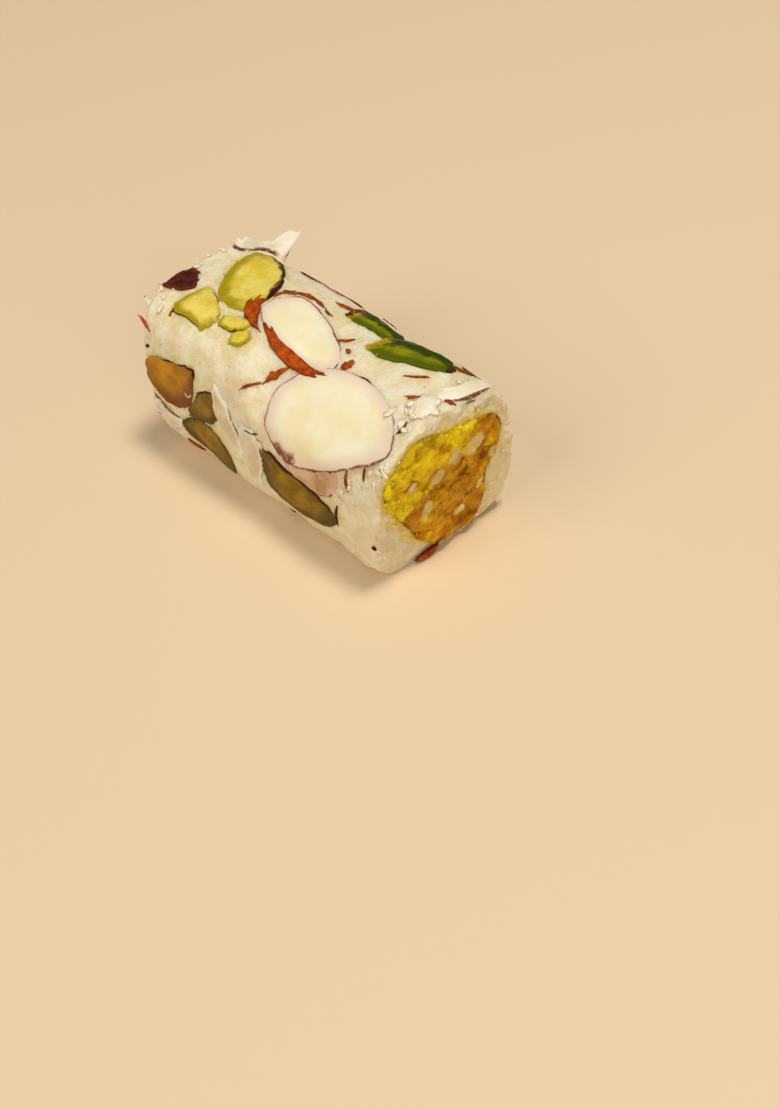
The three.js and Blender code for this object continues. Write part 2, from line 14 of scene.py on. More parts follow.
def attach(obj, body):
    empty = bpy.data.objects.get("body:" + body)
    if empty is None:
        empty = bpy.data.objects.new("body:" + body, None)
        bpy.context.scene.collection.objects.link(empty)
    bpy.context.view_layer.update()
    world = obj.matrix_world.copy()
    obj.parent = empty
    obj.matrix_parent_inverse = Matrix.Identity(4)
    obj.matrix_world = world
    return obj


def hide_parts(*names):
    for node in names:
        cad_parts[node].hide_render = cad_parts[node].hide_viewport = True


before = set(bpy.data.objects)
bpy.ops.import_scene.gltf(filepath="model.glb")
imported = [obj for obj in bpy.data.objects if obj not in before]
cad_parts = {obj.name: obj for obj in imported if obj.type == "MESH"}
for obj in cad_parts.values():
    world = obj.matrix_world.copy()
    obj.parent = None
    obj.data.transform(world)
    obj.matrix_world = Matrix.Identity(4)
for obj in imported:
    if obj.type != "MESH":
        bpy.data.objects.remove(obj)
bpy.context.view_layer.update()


# ------------------------------------------------------------------ cashew paste
# Ground cashew and sugar cooked to a pale dough, rolled by hand round the core into a rounded
# square log and cut across with a knife. Every nut in its skin lies in a pocket it has pressed.

MM = 0.001
TURN = 2 * np.pi
LENGTH = 51.0
HALF_WIDTH = 12.6
HALF_HEIGHT = 12.8
SQUARENESS = 3.6
SECTION_LEAN = math.radians(1.5)
SECTION_LOBES = (0.02, -0.025)
TAPER_WIDTH = -0.13
TAPER_HEIGHT = -0.03
AXIS_PLACE = np.array([-0.32, -0.55, 12.0])
TABLE = -AXIS_PLACE[2]

# (at, tilt with y, tilt with z) of the two cuts
NEAR_CUT = (LENGTH / 2, 0.04, 0.13)
FAR_CUT = (-LENGTH / 2, -0.08, 0.0)
CUT_EDGE = 0.9

# Soft swells: height, waves along the roll, waves round it, phase
SWELLS = ((0.14, 2.3, 2, 1.1), (0.11, 3.7, -3, 2.4), (0.08, 5.1, 5, 0.3), (0.05, 7.9, -8, 4.0))

# The flat that the round almond slice has pressed into the dough's upper front corner: the way
# it faces, the skin place it is measured from, its depth there, and how softly it ends
FLAT_FACING = math.radians(130)
FLAT_AT = (14.2, 137)
FLAT_DEPTH = 2.2
FLAT_SOFTNESS = 1.0
FLAT_FADE = 6.0

# Where each nut lies: at is its middle's x, its angle and its turn on the skin in degrees, size
# its length and width. square is its outline's superellipse exponent, egg widens its +length
# end, bend bows it, and press is how far it has flattened the dough.
POCKETS = {
    "almond_slice_round": dict(at=(13.5, 136, -22), size=(22.8, 15.5), square=2.3, egg=-0.15, bend=2.3),
    "almond_slice_oval": dict(at=(0.4, 94.6, 13), size=(18, 7.1), square=2.5, egg=-0.3, bend=0.3, press=0.3),
    "almond_flake_top": dict(at=(24.6, 96, 62), size=(4.8, 2.9), egg=-0.3, bend=-0.3),
    "almond_flake_corner": dict(at=(25, 66, -86), size=(8.6, 2.6), square=2.8, bend=-0.8),
    "almond_flake_tan": dict(at=(12.4, 174, -14), size=(10.5, 3.8), square=3, egg=0.3, bend=-1.4),
    "almond_flake_side": dict(at=(-0.8, 189, -90), size=(9.6, 5), square=2.4, egg=0.15),
    "almond_flake_curved": dict(at=(-5.3, 173, 63), size=(10.4, 4.1), square=1.8, egg=0.1, bend=-1.1),
    "almond_flake_far": dict(at=(-20.6, 199, 17), size=(6.2, 3.6), square=2.5, bend=-1.2),
    "almond_slice_back": dict(at=(-9, 20, 25), size=(17, 14), square=2.2, egg=0.1, press=0.5),
    "almond_slice_back_oval": dict(
        at=(13, -8, -35), size=(14.5, 8.5), square=2.3, egg=-0.2, bend=0.5, press=0.2
    ),
    "almond_slice_under": dict(at=(9.8, 270, 20), size=(13, 10), square=2.2, egg=0.1),
    "almond_flake_under": dict(at=(18, 229, -60), size=(8, 4.6), square=2.2, egg=0.2, bend=0.5),
    "skin_of_oval_far": dict(at=(-8, 102, 41), size=(8, 2), square=2.2, egg=-0.6, bend=-1),
    "skin_of_oval_low": dict(at=(1.8, 110.5, 5), size=(13, 1.9), square=2.2, bend=-1.3),
    "skin_chip_dark": dict(at=(-23.1, 110, -55), size=(5.4, 3.8), square=3.4, egg=0.85),
    "skin_chip_back": dict(at=(4.5, 31, -40), size=(6, 1.8), bend=0.8),
    "pistachio_chunk_large": dict(at=(-15.2, 80, 48), size=(15.2, 8.8), square=2.1, egg=0.18),
    "pistachio_chunk_square": dict(at=(-15.5, 118, 14), size=(8.2, 5), square=4, egg=-0.35, bend=0.7),
    "pistachio_bit_low": dict(at=(-5.9, 120.5, -28), size=(3.6, 2.6)),
    "pistachio_bit_high": dict(at=(-8.7, 114.8, -16), size=(5, 2.6), square=2.2),
    "pistachio_back_chunk": dict(at=(20, 33, 40), size=(7.6, 5.6), square=2.6, egg=0.2),
    "pistachio_back_square": dict(at=(-20.5, -14, 20), size=(6.4, 5.8), square=3.2, egg=0.1),
    "pistachio_under_chunk": dict(at=(-13, 246, -15), size=(9, 5.4), square=2.4, egg=0.2, bend=0.3),
    "pistachio_side_short": dict(at=(-10.8, 174, -41), size=(10.8, 4.6), square=1.6, egg=0.3, bend=-0.9),
    "pistachio_side_long": dict(at=(-17.3, 165.5, -27), size=(13.8, 7.6), square=1.8, egg=-0.45, bend=-1.5),
    "pistachio_side_low": dict(at=(-11, 204, 14), size=(12.6, 6.8), square=1.8, egg=0.1, bend=1.1),
    "pistachio_side_sliver": dict(at=(8.9, 195.3, 9.5), size=(14.9, 6.6), square=2.7, egg=-0.3, bend=-1.9),
    "pistachio_under_sliver": dict(at=(-7, 300, 8), size=(11, 3.4), square=2.2, egg=-0.2, bend=0.4),
    "pistachio_sliver_thin": dict(at=(6.3, 61.5, 0), size=(10, 3.4), square=2.8, egg=-0.1, bend=0.4),
    "pistachio_sliver_thick": dict(at=(15.3, 67.5, -17), size=(12.4, 5.2), square=2.4, egg=-0.25, bend=0.8),
    "pistachio_back_sliver": dict(at=(3.5, -35, 12), size=(12, 3.6), square=2.2, egg=-0.2, bend=0.6),
}


def smooth(value, low, high):
    """0 below low and 1 above high, eased between them by 3t² - 2t³. low may be above high."""
    part = np.clip((value - low) / (high - low), 0, 1)
    return part * part * (3 - 2 * part)


def section_radius(angle):
    """Radius of the middle section: a superellipse times a faint three-lobed wave."""
    across = np.abs(np.cos(angle - SECTION_LEAN) / HALF_WIDTH) ** SQUARENESS
    upright = np.abs(np.sin(angle - SECTION_LEAN) / HALF_HEIGHT) ** SQUARENESS
    lobe = SECTION_LOBES[0] * np.cos(3 * angle) + SECTION_LOBES[1] * np.sin(3 * angle)
    return (across + upright) ** (-1 / SQUARENESS) * (1 + lobe)


def form_point(x, angle):
    """The log before it swells: the section, tapered in width and height along x."""
    radius = section_radius(angle)
    y = radius * np.cos(angle) * (1 + TAPER_WIDTH * x / LENGTH)
    z = radius * np.sin(angle) * (1 + TAPER_HEIGHT * x / LENGTH)
    return np.stack(np.broadcast_arrays(x, y, z), -1)


def form_normal(x, angle):
    """Outward normal of the log: the step round it crossed with the step along it."""
    step = 0.01
    along = form_point(x + step, angle) - form_point(x - step, angle)
    around = form_point(x, angle + step) - form_point(x, angle - step)
    normal = np.cross(around, along)
    return normal / np.linalg.norm(normal, axis=-1, keepdims=True)


girth_angles = np.linspace(0, TURN, 721)
girth_steps = np.linalg.norm(np.diff(form_point(0 * girth_angles, girth_angles), axis=0), axis=-1)
girth_table = np.concatenate([[0], np.cumsum(girth_steps)])
GIRTH = girth_table[-1]


def girth_at(angle):
    """Length round the middle section from angle 0."""
    return np.interp(np.mod(angle, TURN), girth_angles, girth_table)


def angle_at(girth):
    """The angle at a length round the middle section."""
    return np.interp(np.mod(girth, GIRTH), girth_table, girth_angles)


def outline_shape(pocket):
    """The pocket's values with what it leaves out: x, girth, turn, half length and width, shape."""
    x, angle, turn = pocket["at"]
    length, width = pocket["size"]
    shape = [pocket.get("square", 2), pocket.get("egg", 0), pocket.get("bend", 0)]
    return x, float(girth_at(math.radians(angle))), math.radians(turn), length / 2, width / 2, *shape


def on_outline(pocket, bearing, reach):
    """x and girth of a point of a nut's outline: reach is 0 at its middle and 1 at its rim, and
    bearing turns from its length towards its width. It is a superellipse, egged, bowed, turned."""
    x, girth, turn, half_length, half_width, square, egg, bend = outline_shape(pocket)
    along = np.sign(np.cos(bearing)) * np.abs(np.cos(bearing)) ** (2 / square)
    across = np.sign(np.sin(bearing)) * np.abs(np.sin(bearing)) ** (2 / square)
    u = reach * along * half_length
    v = reach * across * (1 + egg * along) * half_width + bend * ((reach * along) ** 2 - 0.5)
    return x + u * np.cos(turn) - v * np.sin(turn), girth + u * np.sin(turn) + v * np.cos(turn)


def in_nut(pocket, x, girth):
    """Places on the skin as lengths along and across a nut from its middle."""
    middle, middle_girth, turn = outline_shape(pocket)[:3]
    dx = x - middle
    dg = girth - middle_girth
    dg = dg - GIRTH * np.round(dg / GIRTH)
    return dx * np.cos(turn) + dg * np.sin(turn), dg * np.cos(turn) - dx * np.sin(turn)


def from_outline(pocket, x, girth):
    """Distance in mm of places on the skin from a nut's rim, negative inside: the outline's
    superellipse value less one, over its slope."""
    half_length, half_width, square, egg, bend = outline_shape(pocket)[3:]
    u, v = in_nut(pocket, x, girth)

    def value(u, v):
        along = np.clip(u / half_length, -1.2, 1.2)
        half = half_width * (1 + egg * np.clip(along, -1, 1))
        bow = bend * (along**2 - 0.5)
        return (np.abs(u / half_length) ** square + np.abs((v - bow) / half) ** square) ** (1 / square)

    step = 0.05
    here = value(u, v)
    slope = np.hypot(value(u + step, v) - here, value(u, v + step) - here) / step
    return (here - 1) / np.maximum(slope, 0.03)


def swell(x, angle):
    """Sum of the swells' sine waves."""
    waves = [h * np.sin(TURN * a * x / LENGTH + r * angle + p) for h, a, r, p in SWELLS]
    return sum(waves)


def flattened(x, angle):
    """How far the dough has given way under the round slice, which lies flat across the corner:
    the height of the plain skin above the slice's plane, eased off beyond its rim and towards
    the near cut."""
    facing = np.array([0, math.cos(FLAT_FACING), math.sin(FLAT_FACING)])
    pocket = POCKETS["almond_slice_round"]
    on_plane = form_point(np.array([FLAT_AT[0]]), np.array([math.radians(FLAT_AT[1])]))[0]
    normal = form_normal(x, angle)
    plain = form_point(x, angle) + normal * swell(x, angle)[..., None]
    height = plain @ facing - (on_plane @ facing - FLAT_DEPTH)
    height = 0.5 * (height + np.sqrt(height**2 + FLAT_SOFTNESS**2))
    share = smooth(from_outline(pocket, x, girth_at(angle)), FLAT_FADE, 0.3)
    share = share * (1 - 0.35 * smooth(x, 20, NEAR_CUT[0]))
    return share * height / np.maximum(normal @ facing, 0.5)


def pressed_in(x, angle):
    """How far the slices have pressed the dough in. Under the round one it is flattened; under
    the others it is press times exp(-rho^4), rho being the distance from the slice's middle over
    its half size."""
    x, angle = np.broadcast_arrays(np.asarray(x, float), angle)
    depth = flattened(x, angle)
    for pocket in POCKETS.values():
        if "press" in pocket:
            half_length, half_width = outline_shape(pocket)[3:5]
            u, v = in_nut(pocket, x, girth_at(angle))
            depth = depth + pocket["press"] * np.exp(-(((u / half_length) ** 2 + (v / half_width) ** 2) ** 2))
    return depth


def skin_point(x, angle, lift=0.0):
    """A point of the finished skin, lift mm outside it."""
    outwards = lift + swell(x, angle) - pressed_in(x, angle)
    return form_point(x, angle) + form_normal(x, angle) * outwards[..., None]


def roughly(points, size, seed):
    """Smooth random relief from -1 to 1: random values at the corners of cubes of that size,
    eased between them."""
    rng = np.random.default_rng(seed)
    values = rng.uniform(-1, 1, 8192)
    scaled = np.asarray(points, float) / size
    cell = np.floor(scaled).astype(np.int64)
    part = scaled - cell
    part = part * part * (3 - 2 * part)

    def corner(i, j, k):
        key = (cell[..., 0] + i) * 73856093 ^ (cell[..., 1] + j) * 19349663 ^ (cell[..., 2] + k) * 83492791
        return values[key % 8192]

    def edge(j, k):
        return corner(0, j, k) * (1 - part[..., 0]) + corner(1, j, k) * part[..., 0]

    def face(k):
        return edge(0, k) * (1 - part[..., 1]) + edge(1, k) * part[..., 1]

    return face(0) * (1 - part[..., 2]) + face(1) * part[..., 2]


def rough_sum(points, size, octaves, seed):
    """Sum of random reliefs, each with half the size and half the height of the last."""
    layers = [roughly(points, size / 2**i, seed + i) / 2**i for i in range(octaves)]
    return sum(layers)


def circle(columns):
    """Evenly spaced bearings round a ring."""
    return TURN * np.arange(columns) / columns


def unit_ring(bearing):
    """Points of a circle, so that relief drawn at them closes on itself."""
    return np.stack([np.cos(bearing), np.sin(bearing), 0 * bearing], -1)


def with_poles(value):
    """A value of each point of some rings, then 0 for their two poles."""
    return np.append(value.ravel(), [0, 0])


def new_object(name, data):
    """An object with that data, in the scene."""
    thing = bpy.data.objects.new(name, data)
    bpy.context.scene.collection.objects.link(thing)
    return thing


def grid_normals(points):
    """Outward normals of a closed ring of rings, from differences along its rows and columns."""
    along = np.roll(points, -1, 0) - np.roll(points, 1, 0)
    around = np.roll(points, -1, 1) - np.roll(points, 1, 1)
    normal = np.cross(around, along)
    return normal / np.maximum(np.linalg.norm(normal, axis=-1, keepdims=True), 1e-9)


def make_piece(name, points, faces, values, material, replaced):
    """A smooth mesh in the frame from points in mm about the roll's axis, with a float attribute
    for each of values, riding on the roll. Faces are turned over if its volume is negative."""
    placed = (points.reshape(-1, 3) + AXIS_PLACE) * MM
    mesh = bpy.data.meshes.new(name)
    corner = [placed[faces[:, i]] for i in range(3)]
    volume = np.sum(corner[0] * np.cross(corner[1], corner[2]))
    if faces.shape[1] == 4:
        last = placed[faces[:, 3]]
        volume += np.sum(corner[0] * np.cross(corner[2], last))
    ordered = faces if volume > 0 else faces[:, ::-1]
    loops = [[v for i, v in enumerate(face) if v != face[i - 1]] for face in ordered.tolist()]
    mesh.from_pydata(placed.tolist(), [], loops)
    for key, value in values.items():
        attribute = mesh.attributes.new(key, "FLOAT", "POINT")
        attribute.data.foreach_set("value", np.broadcast_to(value, len(placed)).astype(np.float32))
    mesh.shade_smooth()
    mesh.materials.append(material)
    piece = new_object(name, mesh)
    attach(piece, "root")
    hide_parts(*replaced)


def ring_faces(rows, columns, looped, poles):
    """Faces between rings of points: quads from ring to ring, joined round, and joined from the
    last ring to the first if looped. With poles, two more points close the first and last ring
    with fans, written as quads whose last corner is repeated."""
    row, column = np.meshgrid(np.arange(rows if looped else rows - 1), np.arange(columns), indexing="ij")
    after = (column + 1) % columns
    below = (row + 1) % rows
    corners = ((row, column), (row, after), (below, after), (below, column))
    quads = np.stack([(r * columns + c).ravel() for r, c in corners], -1)
    if poles:
        here = np.arange(columns)
        after = (here + 1) % columns
        first = np.full(columns, rows * columns)
        base = (rows - 1) * columns
        start = np.stack([after, here, first, first], -1)
        end = np.stack([base + here, base + after, first + 1, first + 1], -1)
        quads = np.concatenate([quads, start, end])
    return quads


def linear(red, green, blue):
    """A colour as a screen shows it, 0 to 255, as the linear RGBA that a shader takes."""
    screen = np.array([red, green, blue]) / 255
    value = np.where(screen <= 0.04045, screen / 12.92, ((screen + 0.055) / 1.055) ** 2.4)
    return (*value.tolist(), 1.0)


def shader_node(tree, kind, inputs=(), **settings):
    """Adds a shader node, sets its properties, and gives its inputs values or other outputs."""
    node = tree.nodes.new("ShaderNode" + kind)
    for key, value in settings.items():
        setattr(node, key, value)
    for key, value in dict(inputs).items():
        if isinstance(value, bpy.types.NodeSocket):
            tree.links.new(value, node.inputs[key])
        else:
            node.inputs[key].default_value = value
    return node


def blended(tree, factor, first, second):
    """Colour output that goes from first to second as factor goes from 0 to 1."""
    inputs = {0: factor, 6: first, 7: second}
    return shader_node(tree, "Mix", inputs, data_type="RGBA", blend_type="MIX").outputs[2]


def stepped(tree, value, low, high):
    """0 below low, 1 above high, eased between."""
    inputs = {"Value": value, "From Min": low, "From Max": high}
    return shader_node(tree, "MapRange", inputs, interpolation_type="SMOOTHSTEP").outputs[0]


def arithmetic(tree, operation, first, second):
    """One step of arithmetic on two values."""
    return shader_node(tree, "Math", {0: first, 1: second}, operation=operation).outputs[0]


def times(tree, first, second):
    """The product of two values."""
    return arithmetic(tree, "MULTIPLY", first, second)


def plus(tree, first, second):
    """The sum of two values."""
    return arithmetic(tree, "ADD", first, second)


def noise_of(tree, millimetres, detail=3.0, roughness=0.55, stretch=None):
    """Noise on Object coordinates, from 0 to 1 about 0.5, with features of that size."""
    place = shader_node(tree, "TexCoord").outputs["Object"]
    if stretch:
        place = shader_node(tree, "Mapping", {"Vector": place, "Scale": stretch}).outputs[0]
    inputs = {"Vector": place, "Scale": 1 / (millimetres * MM), "Detail": detail, "Roughness": roughness}
    return shader_node(tree, "TexNoise", inputs).outputs["Fac"]


def patches(tree, millimetres, low, high, detail=3.0):
    """Random patches of that size: the noise's step from low to high."""
    return stepped(tree, noise_of(tree, millimetres, detail), low, high)


def measured(tree, name):
    """The piece's own attribute of that name."""
    return shader_node(tree, "Attribute", attribute_name=name).outputs["Fac"]


def mottled_flesh():
    """Node group: two colours in soft patches with a fine grain, and the grain's height."""
    group = bpy.data.node_groups.new("mottled_flesh", "ShaderNodeTree")
    sockets = {"Light": "Color", "Dark": "Color", "Patch mm": "Float", "Grain mm": "Float"}
    sockets["Balance"] = "Float"
    for name, kind in sockets.items():
        group.interface.new_socket(name, in_out="INPUT", socket_type="NodeSocket" + kind)
    for name, kind in {"Color": "Color", "Height": "Float"}.items():
        group.interface.new_socket(name, in_out="OUTPUT", socket_type="NodeSocket" + kind)
    entry = group.nodes.new("NodeGroupInput").outputs
    place = shader_node(group, "TexCoord").outputs["Object"]
    noises = []
    for socket, detail in (("Patch mm", 2.0), ("Grain mm", 4.0)):
        scale = arithmetic(group, "DIVIDE", 1 / MM, entry[socket])
        inputs = {"Vector": place, "Scale": scale, "Detail": detail}
        noises.append(shader_node(group, "TexNoise", inputs).outputs["Fac"])
    patches, grain = noises
    both = plus(group, times(group, patches, 0.75), times(group, grain, 0.25))
    factor = stepped(group, plus(group, both, entry["Balance"]), 0.36, 0.64)
    leave = group.nodes.new("NodeGroupOutput").inputs
    group.links.new(blended(group, factor, entry["Light"], entry["Dark"]), leave["Color"])
    group.links.new(grain, leave["Height"])
    return group


MOTTLED = mottled_flesh()


def flesh(tree, light, dark, patch, grain, balance=0.0):
    """The mottled group in a material, with its own values."""
    node = tree.nodes.new("ShaderNodeGroup")
    node.node_tree = MOTTLED
    for socket, value in zip(node.inputs, (light, dark, patch, grain, balance)):
        socket.default_value = value
    return node.outputs["Color"], node.outputs["Height"]


def new_material(name):
    """An empty node material and its tree."""
    material = bpy.data.materials.new(name)
    material.use_nodes = True
    material.node_tree.nodes.clear()
    return material, material.node_tree


def surface_of(tree, color, height, bump_mm, roughness, **sockets):
    """The material's Principled shader: colour, a bump of that height in mm, and plain values
    for the named sockets."""
    bump = shader_node(tree, "Bump", {"Height": height, "Distance": bump_mm * MM, "Strength": 1.0})
    inputs = {"Base Color": color, "Roughness": roughness, "Normal": bump.outputs[0]}
    inputs.update({key.replace("_", " "): value for key, value in sockets.items()})
    principled = shader_node(tree, "BsdfPrincipled", inputs)
    output = shader_node(tree, "OutputMaterial")
    tree.links.new(principled.outputs[0], output.inputs["Surface"])


def paste_material():
    """Cream dough: soft patches of cream and warmer cream, greener beside pistachios, stained
    yellow at the core, with faint grey-brown specks and a fine grain. Each cut is tinted yellow
    towards +Y and down as painted bounce light, and a patchy brown line along each nut's rim is
    painted shade."""
    material, tree = new_material("cashew_paste")
    cream, grain = flesh(tree, linear(254, 245, 220), linear(244, 225, 186), 2.2, 0.5)
    near_nut = times(tree, measured(tree, "green"), patches(tree, 2.2, 0.3, 0.6))
    color = blended(tree, near_nut, cream, linear(234, 218, 128))
    # This value carries the core's real yellow stain and the painted bounce light on the cuts.
    yolk_and_painted_bounce = times(tree, measured(tree, "yolk_and_painted_bounce"), patches(tree, 0.8, 0.3, 0.52))
    color = blended(tree, yolk_and_painted_bounce, color, linear(244, 204, 48))
    specks = patches(tree, 0.55, 0.73, 0.78, 1.0)
    color = blended(tree, times(tree, specks, 0.55), color, linear(150, 110, 70))
    # Painted shade: the dough is darkened brown in a patchy line along each nut's rim, where shade falls into
    # the gap.
    patchy = patches(tree, 1.5, 0.45, 0.62)
    close = times(tree, measured(tree, "painted_rim_shade"), times(tree, patchy, 0.6))
    color = blended(tree, close, color, linear(196, 150, 92))
    pale = patches(tree, 0.9, 0.66, 0.72, 1.0)
    color = blended(tree, times(tree, pale, 0.5), color, linear(252, 248, 238))
    fine = noise_of(tree, 0.16, 3.0, 0.7)
    height = plus(tree, grain, times(tree, fine, 0.5))
    roughness = patches(tree, 1.4, -0.6, 1.3)
    surface_of(
        tree, color, height, 0.24, roughness, Subsurface_Weight=0.45, Subsurface_Scale=0.0022,
        Subsurface_Radius=(1.0, 0.72, 0.42), Specular_IOR_Level=0.42,
    )
    return material


# The bore in the paste: nearly round inside, smeared by the knife to a lobed outline at each
# cut. A lobed outline is its mean radius, then (height, bearing in degrees) for each lobe.
CORE_RADIUS = 8.6
SMEAR_DEPTH = 3.0
THINNEST_WALL = 1.3
NEAR_CORE = (9.7, (0.6, 118), (1.3, -71), (1.5, 33), (0.55, 33))
FAR_CORE = (8.8, (0.5, 20), (0.9, 50), (0.8, 80), (0.3, 10))


def lobed_radius(outline, angle):
    """Mean radius plus the i-th lobe's height times cos(i (angle - bearing))."""
    mean, *lobes = outline
    return mean + sum(h * np.cos((i + 1) * (angle - math.radians(b))) for i, (h, b) in enumerate(lobes))


def bore_radius(x, angle):
    """Radius of the bore: from the round core to each cut's outline, inside a thinnest wall."""
    near = smooth(x, NEAR_CUT[0] - SMEAR_DEPTH, NEAR_CUT[0])
    far = smooth(-x, -FAR_CUT[0] - SMEAR_DEPTH, -FAR_CUT[0])
    radius = CORE_RADIUS + (lobed_radius(NEAR_CORE, angle) - CORE_RADIUS) * near
    radius = radius + (lobed_radius(FAR_CORE, angle) - radius) * far
    skin = skin_point(x, angle)
    share = np.maximum(skin[..., 2], TABLE) / skin[..., 2]
    return np.minimum(radius, np.hypot(skin[..., 1], skin[..., 2]) * np.minimum(share, 1) - THINNEST_WALL)


def cut_at(cut, y, z):
    """x of a cut face over a place of the section."""
    return cut[0] + cut[1] * y + cut[2] * z


def skin_end(cut, angle):
    """Where the outer skin begins to turn over into a cut."""
    at = cut[0] + 0 * angle
    edge = skin_point(at, angle)
    edge = skin_point(cut_at(cut, edge[..., 1], edge[..., 2]), angle)
    return edge[..., 0] - np.sign(cut[0]) * CUT_EDGE


def bore_rim(cut, angle):
    """The bore's rim on a cut."""
    radius = bore_radius(cut[0] + 0 * angle, angle)
    y, z = radius * np.cos(angle), radius * np.sin(angle)
    return np.stack([cut_at(cut, y, z), y, z], -1)


def paste_grid(round_steps, skin_steps, edge_steps, face_steps, bore_steps):
    """Rings of points from the far end along the skin, over the near edge and cut, back through
    the bore, and out over the far cut and edge. Also each point's skin place, and how far it is
    on a cut (0 skin, 1 cut face, 2 bore)."""
    angle = circle(round_steps)
    far_end, near_end = skin_end(FAR_CUT, angle), skin_end(NEAR_CUT, angle)
    rows, kinds = [], []

    def edge_row(cut, end, bow):
        x = end + np.sign(cut[0]) * CUT_EDGE * math.sin(bow)
        return skin_point(x, angle, -CUT_EDGE * (1 - math.cos(bow)))

    for t in np.arange(skin_steps) / skin_steps:
        rows.append(skin_point(far_end + (near_end - far_end) * t, angle))
        kinds.append(0.0)
    for t in np.arange(edge_steps) / edge_steps:
        rows.append(edge_row(NEAR_CUT, near_end, t * math.pi / 2))
        kinds.append(float(t))
    near_edge, near_rim = edge_row(NEAR_CUT, near_end, math.pi / 2), bore_rim(NEAR_CUT, angle)
    far_edge, far_rim = edge_row(FAR_CUT, far_end, math.pi / 2), bore_rim(FAR_CUT, angle)
    for t in np.arange(face_steps) / face_steps:
        rows.append(near_edge + (near_rim - near_edge) * t)
        kinds.append(1.0)
    for t in np.arange(bore_steps) / bore_steps:
        x = near_rim[:, 0] + (far_rim[:, 0] - near_rim[:, 0]) * (1 - math.cos(math.pi * t)) / 2
        radius = bore_radius(x, angle)
        rows.append(near_rim if t == 0 else np.stack([x, radius * np.cos(angle), radius * np.sin(angle)], -1))
        kinds.append(2.0)
    for t in np.arange(face_steps) / face_steps:
        rows.append(far_rim + (far_edge - far_rim) * t)
        kinds.append(1.0)
    for t in np.arange(edge_steps) / edge_steps:
        rows.append(edge_row(FAR_CUT, far_end, (1 - t) * math.pi / 2))
        kinds.append(1.0 - float(t))
    grid = np.stack(rows)
    kind = np.broadcast_to(np.array(kinds)[:, None], grid.shape[:2])
    return grid, np.broadcast_to(angle, grid.shape[:2]), kind


# The dough's relief, in mm: (height, size) of hand marks, of grain along the roll, and of the
# coarse and fine torn grain that the knife leaves; how low the torn cuts lie; a pocket's depth
HAND_MARKS = (0.11, 4.5)
GRAIN = (0.05, 0.9)
COARSE_TEAR = (0.4, 1.9)
FINE_TEAR = (0.16, 0.5)
TEAR_LOW = 0.26
POCKET_DEPTH = 0.9


def paste_relief(grid, angle, kind, past_rim):
    """Height of the skin over its plain form: pockets under the nuts, a lip of dough that rises
    and falls round each rim, hand marks and grain, and a torn grain on the cuts. Also how close
    each point is to a pistachio, and to any rim; the closeness to a rim is used for painted shade."""
    x, girth = grid[..., 0], girth_at(angle)
    relief = HAND_MARKS[0] * rough_sum(grid, HAND_MARKS[1], 4, 11) - 0.1
    relief = relief + GRAIN[0] * roughly(grid * [0.5, 1, 1], GRAIN[1], 31)
    on_skin = smooth(kind, 0.9, 0.3)
    wander = 0.18 + 0.2 * roughly(grid, 1.6, 41) + 0.1 * roughly(grid, 0.6, 42)
    lip_height = 0.08 + 0.24 * smooth(roughly(grid, 2.6, 43), 0.0, 0.8)
    hollow = np.zeros_like(x)
    lip = np.zeros_like(x)
    green = np.zeros_like(x)
    painted_rim_shade = np.zeros_like(x)
    for name, pocket in POCKETS.items():
        distance = from_outline(pocket, x, girth)
        near = distance + wander
        hollow = np.maximum(hollow, smooth(near, 0.0, -0.5))
        # Painted shade: a narrow band on each nut's rim, where the dough meets the nut.
        painted_rim_shade = np.maximum(painted_rim_shade, np.exp(-((distance / 0.3) ** 2)))
        lip = np.maximum(lip, lip_height * np.exp(-(((near - 0.25) / 0.4) ** 2)))
        if name.startswith("pistachio"):
            green = np.maximum(green, np.exp(-np.maximum(distance, 0) / 0.8))
    relief = relief + on_skin * (lip * (1 - hollow) - POCKET_DEPTH * hollow)
    cut = smooth(kind, 0.0, 0.8) * smooth(kind, 1.6, 1.2) * smooth(past_rim, 0.1, 1.4)
    torn = COARSE_TEAR[0] * rough_sum(grid * [0.5, 1, 1], COARSE_TEAR[1], 4, 51)
    torn = torn + FINE_TEAR[0] * roughly(grid, FINE_TEAR[1], 55) - TEAR_LOW
    return relief + cut * torn, green * on_skin, painted_rim_shade * on_skin


grid, grid_angle, grid_kind = paste_grid(360, 200, 9, 20, 8)
from_axis = np.hypot(grid[..., 1], grid[..., 2])
past_rim = from_axis - bore_radius(np.clip(grid[..., 0], FAR_CUT[0], NEAR_CUT[0]), grid_angle)
relief, green, painted_rim_shade = paste_relief(grid, grid_angle, grid_kind, past_rim)
grid = grid + grid_normals(grid) * relief[..., None]
grid[..., 2] = np.maximum(grid[..., 2], TABLE)
smear = 1.5 + 1.1 * roughly(grid, 1.8, 57) + 0.8 * smooth(np.cos(grid_angle - math.radians(200)), 0.2, 1.0)
yolk_and_painted_bounce = smooth(past_rim / np.maximum(smear, 0.3), 1.0, 0.1) * smooth(grid_kind, 0.6, 1.0)
# Painted bounce light and shade: the dough of each cut is tinted yolk yellow towards +Y and down, standing in
# for yellow light thrown back by rolls beside it.
painted_bounce_tint = 0.3 * smooth(np.cos(grid_angle + 0.6), 0.0, 1.0) * smooth(grid_kind, 0.8, 1.0)
yolk_and_painted_bounce = np.maximum(yolk_and_painted_bounce, painted_bounce_tint)
make_piece(
    "cashew_dough", grid, ring_faces(*grid.shape[:2], looped=True, poles=False),
    {"green": green.ravel(), "yolk_and_painted_bounce": yolk_and_painted_bounce.ravel(), "painted_rim_shade": painted_rim_shade.ravel()}, paste_material(),
    ["cashew_paste"],
)


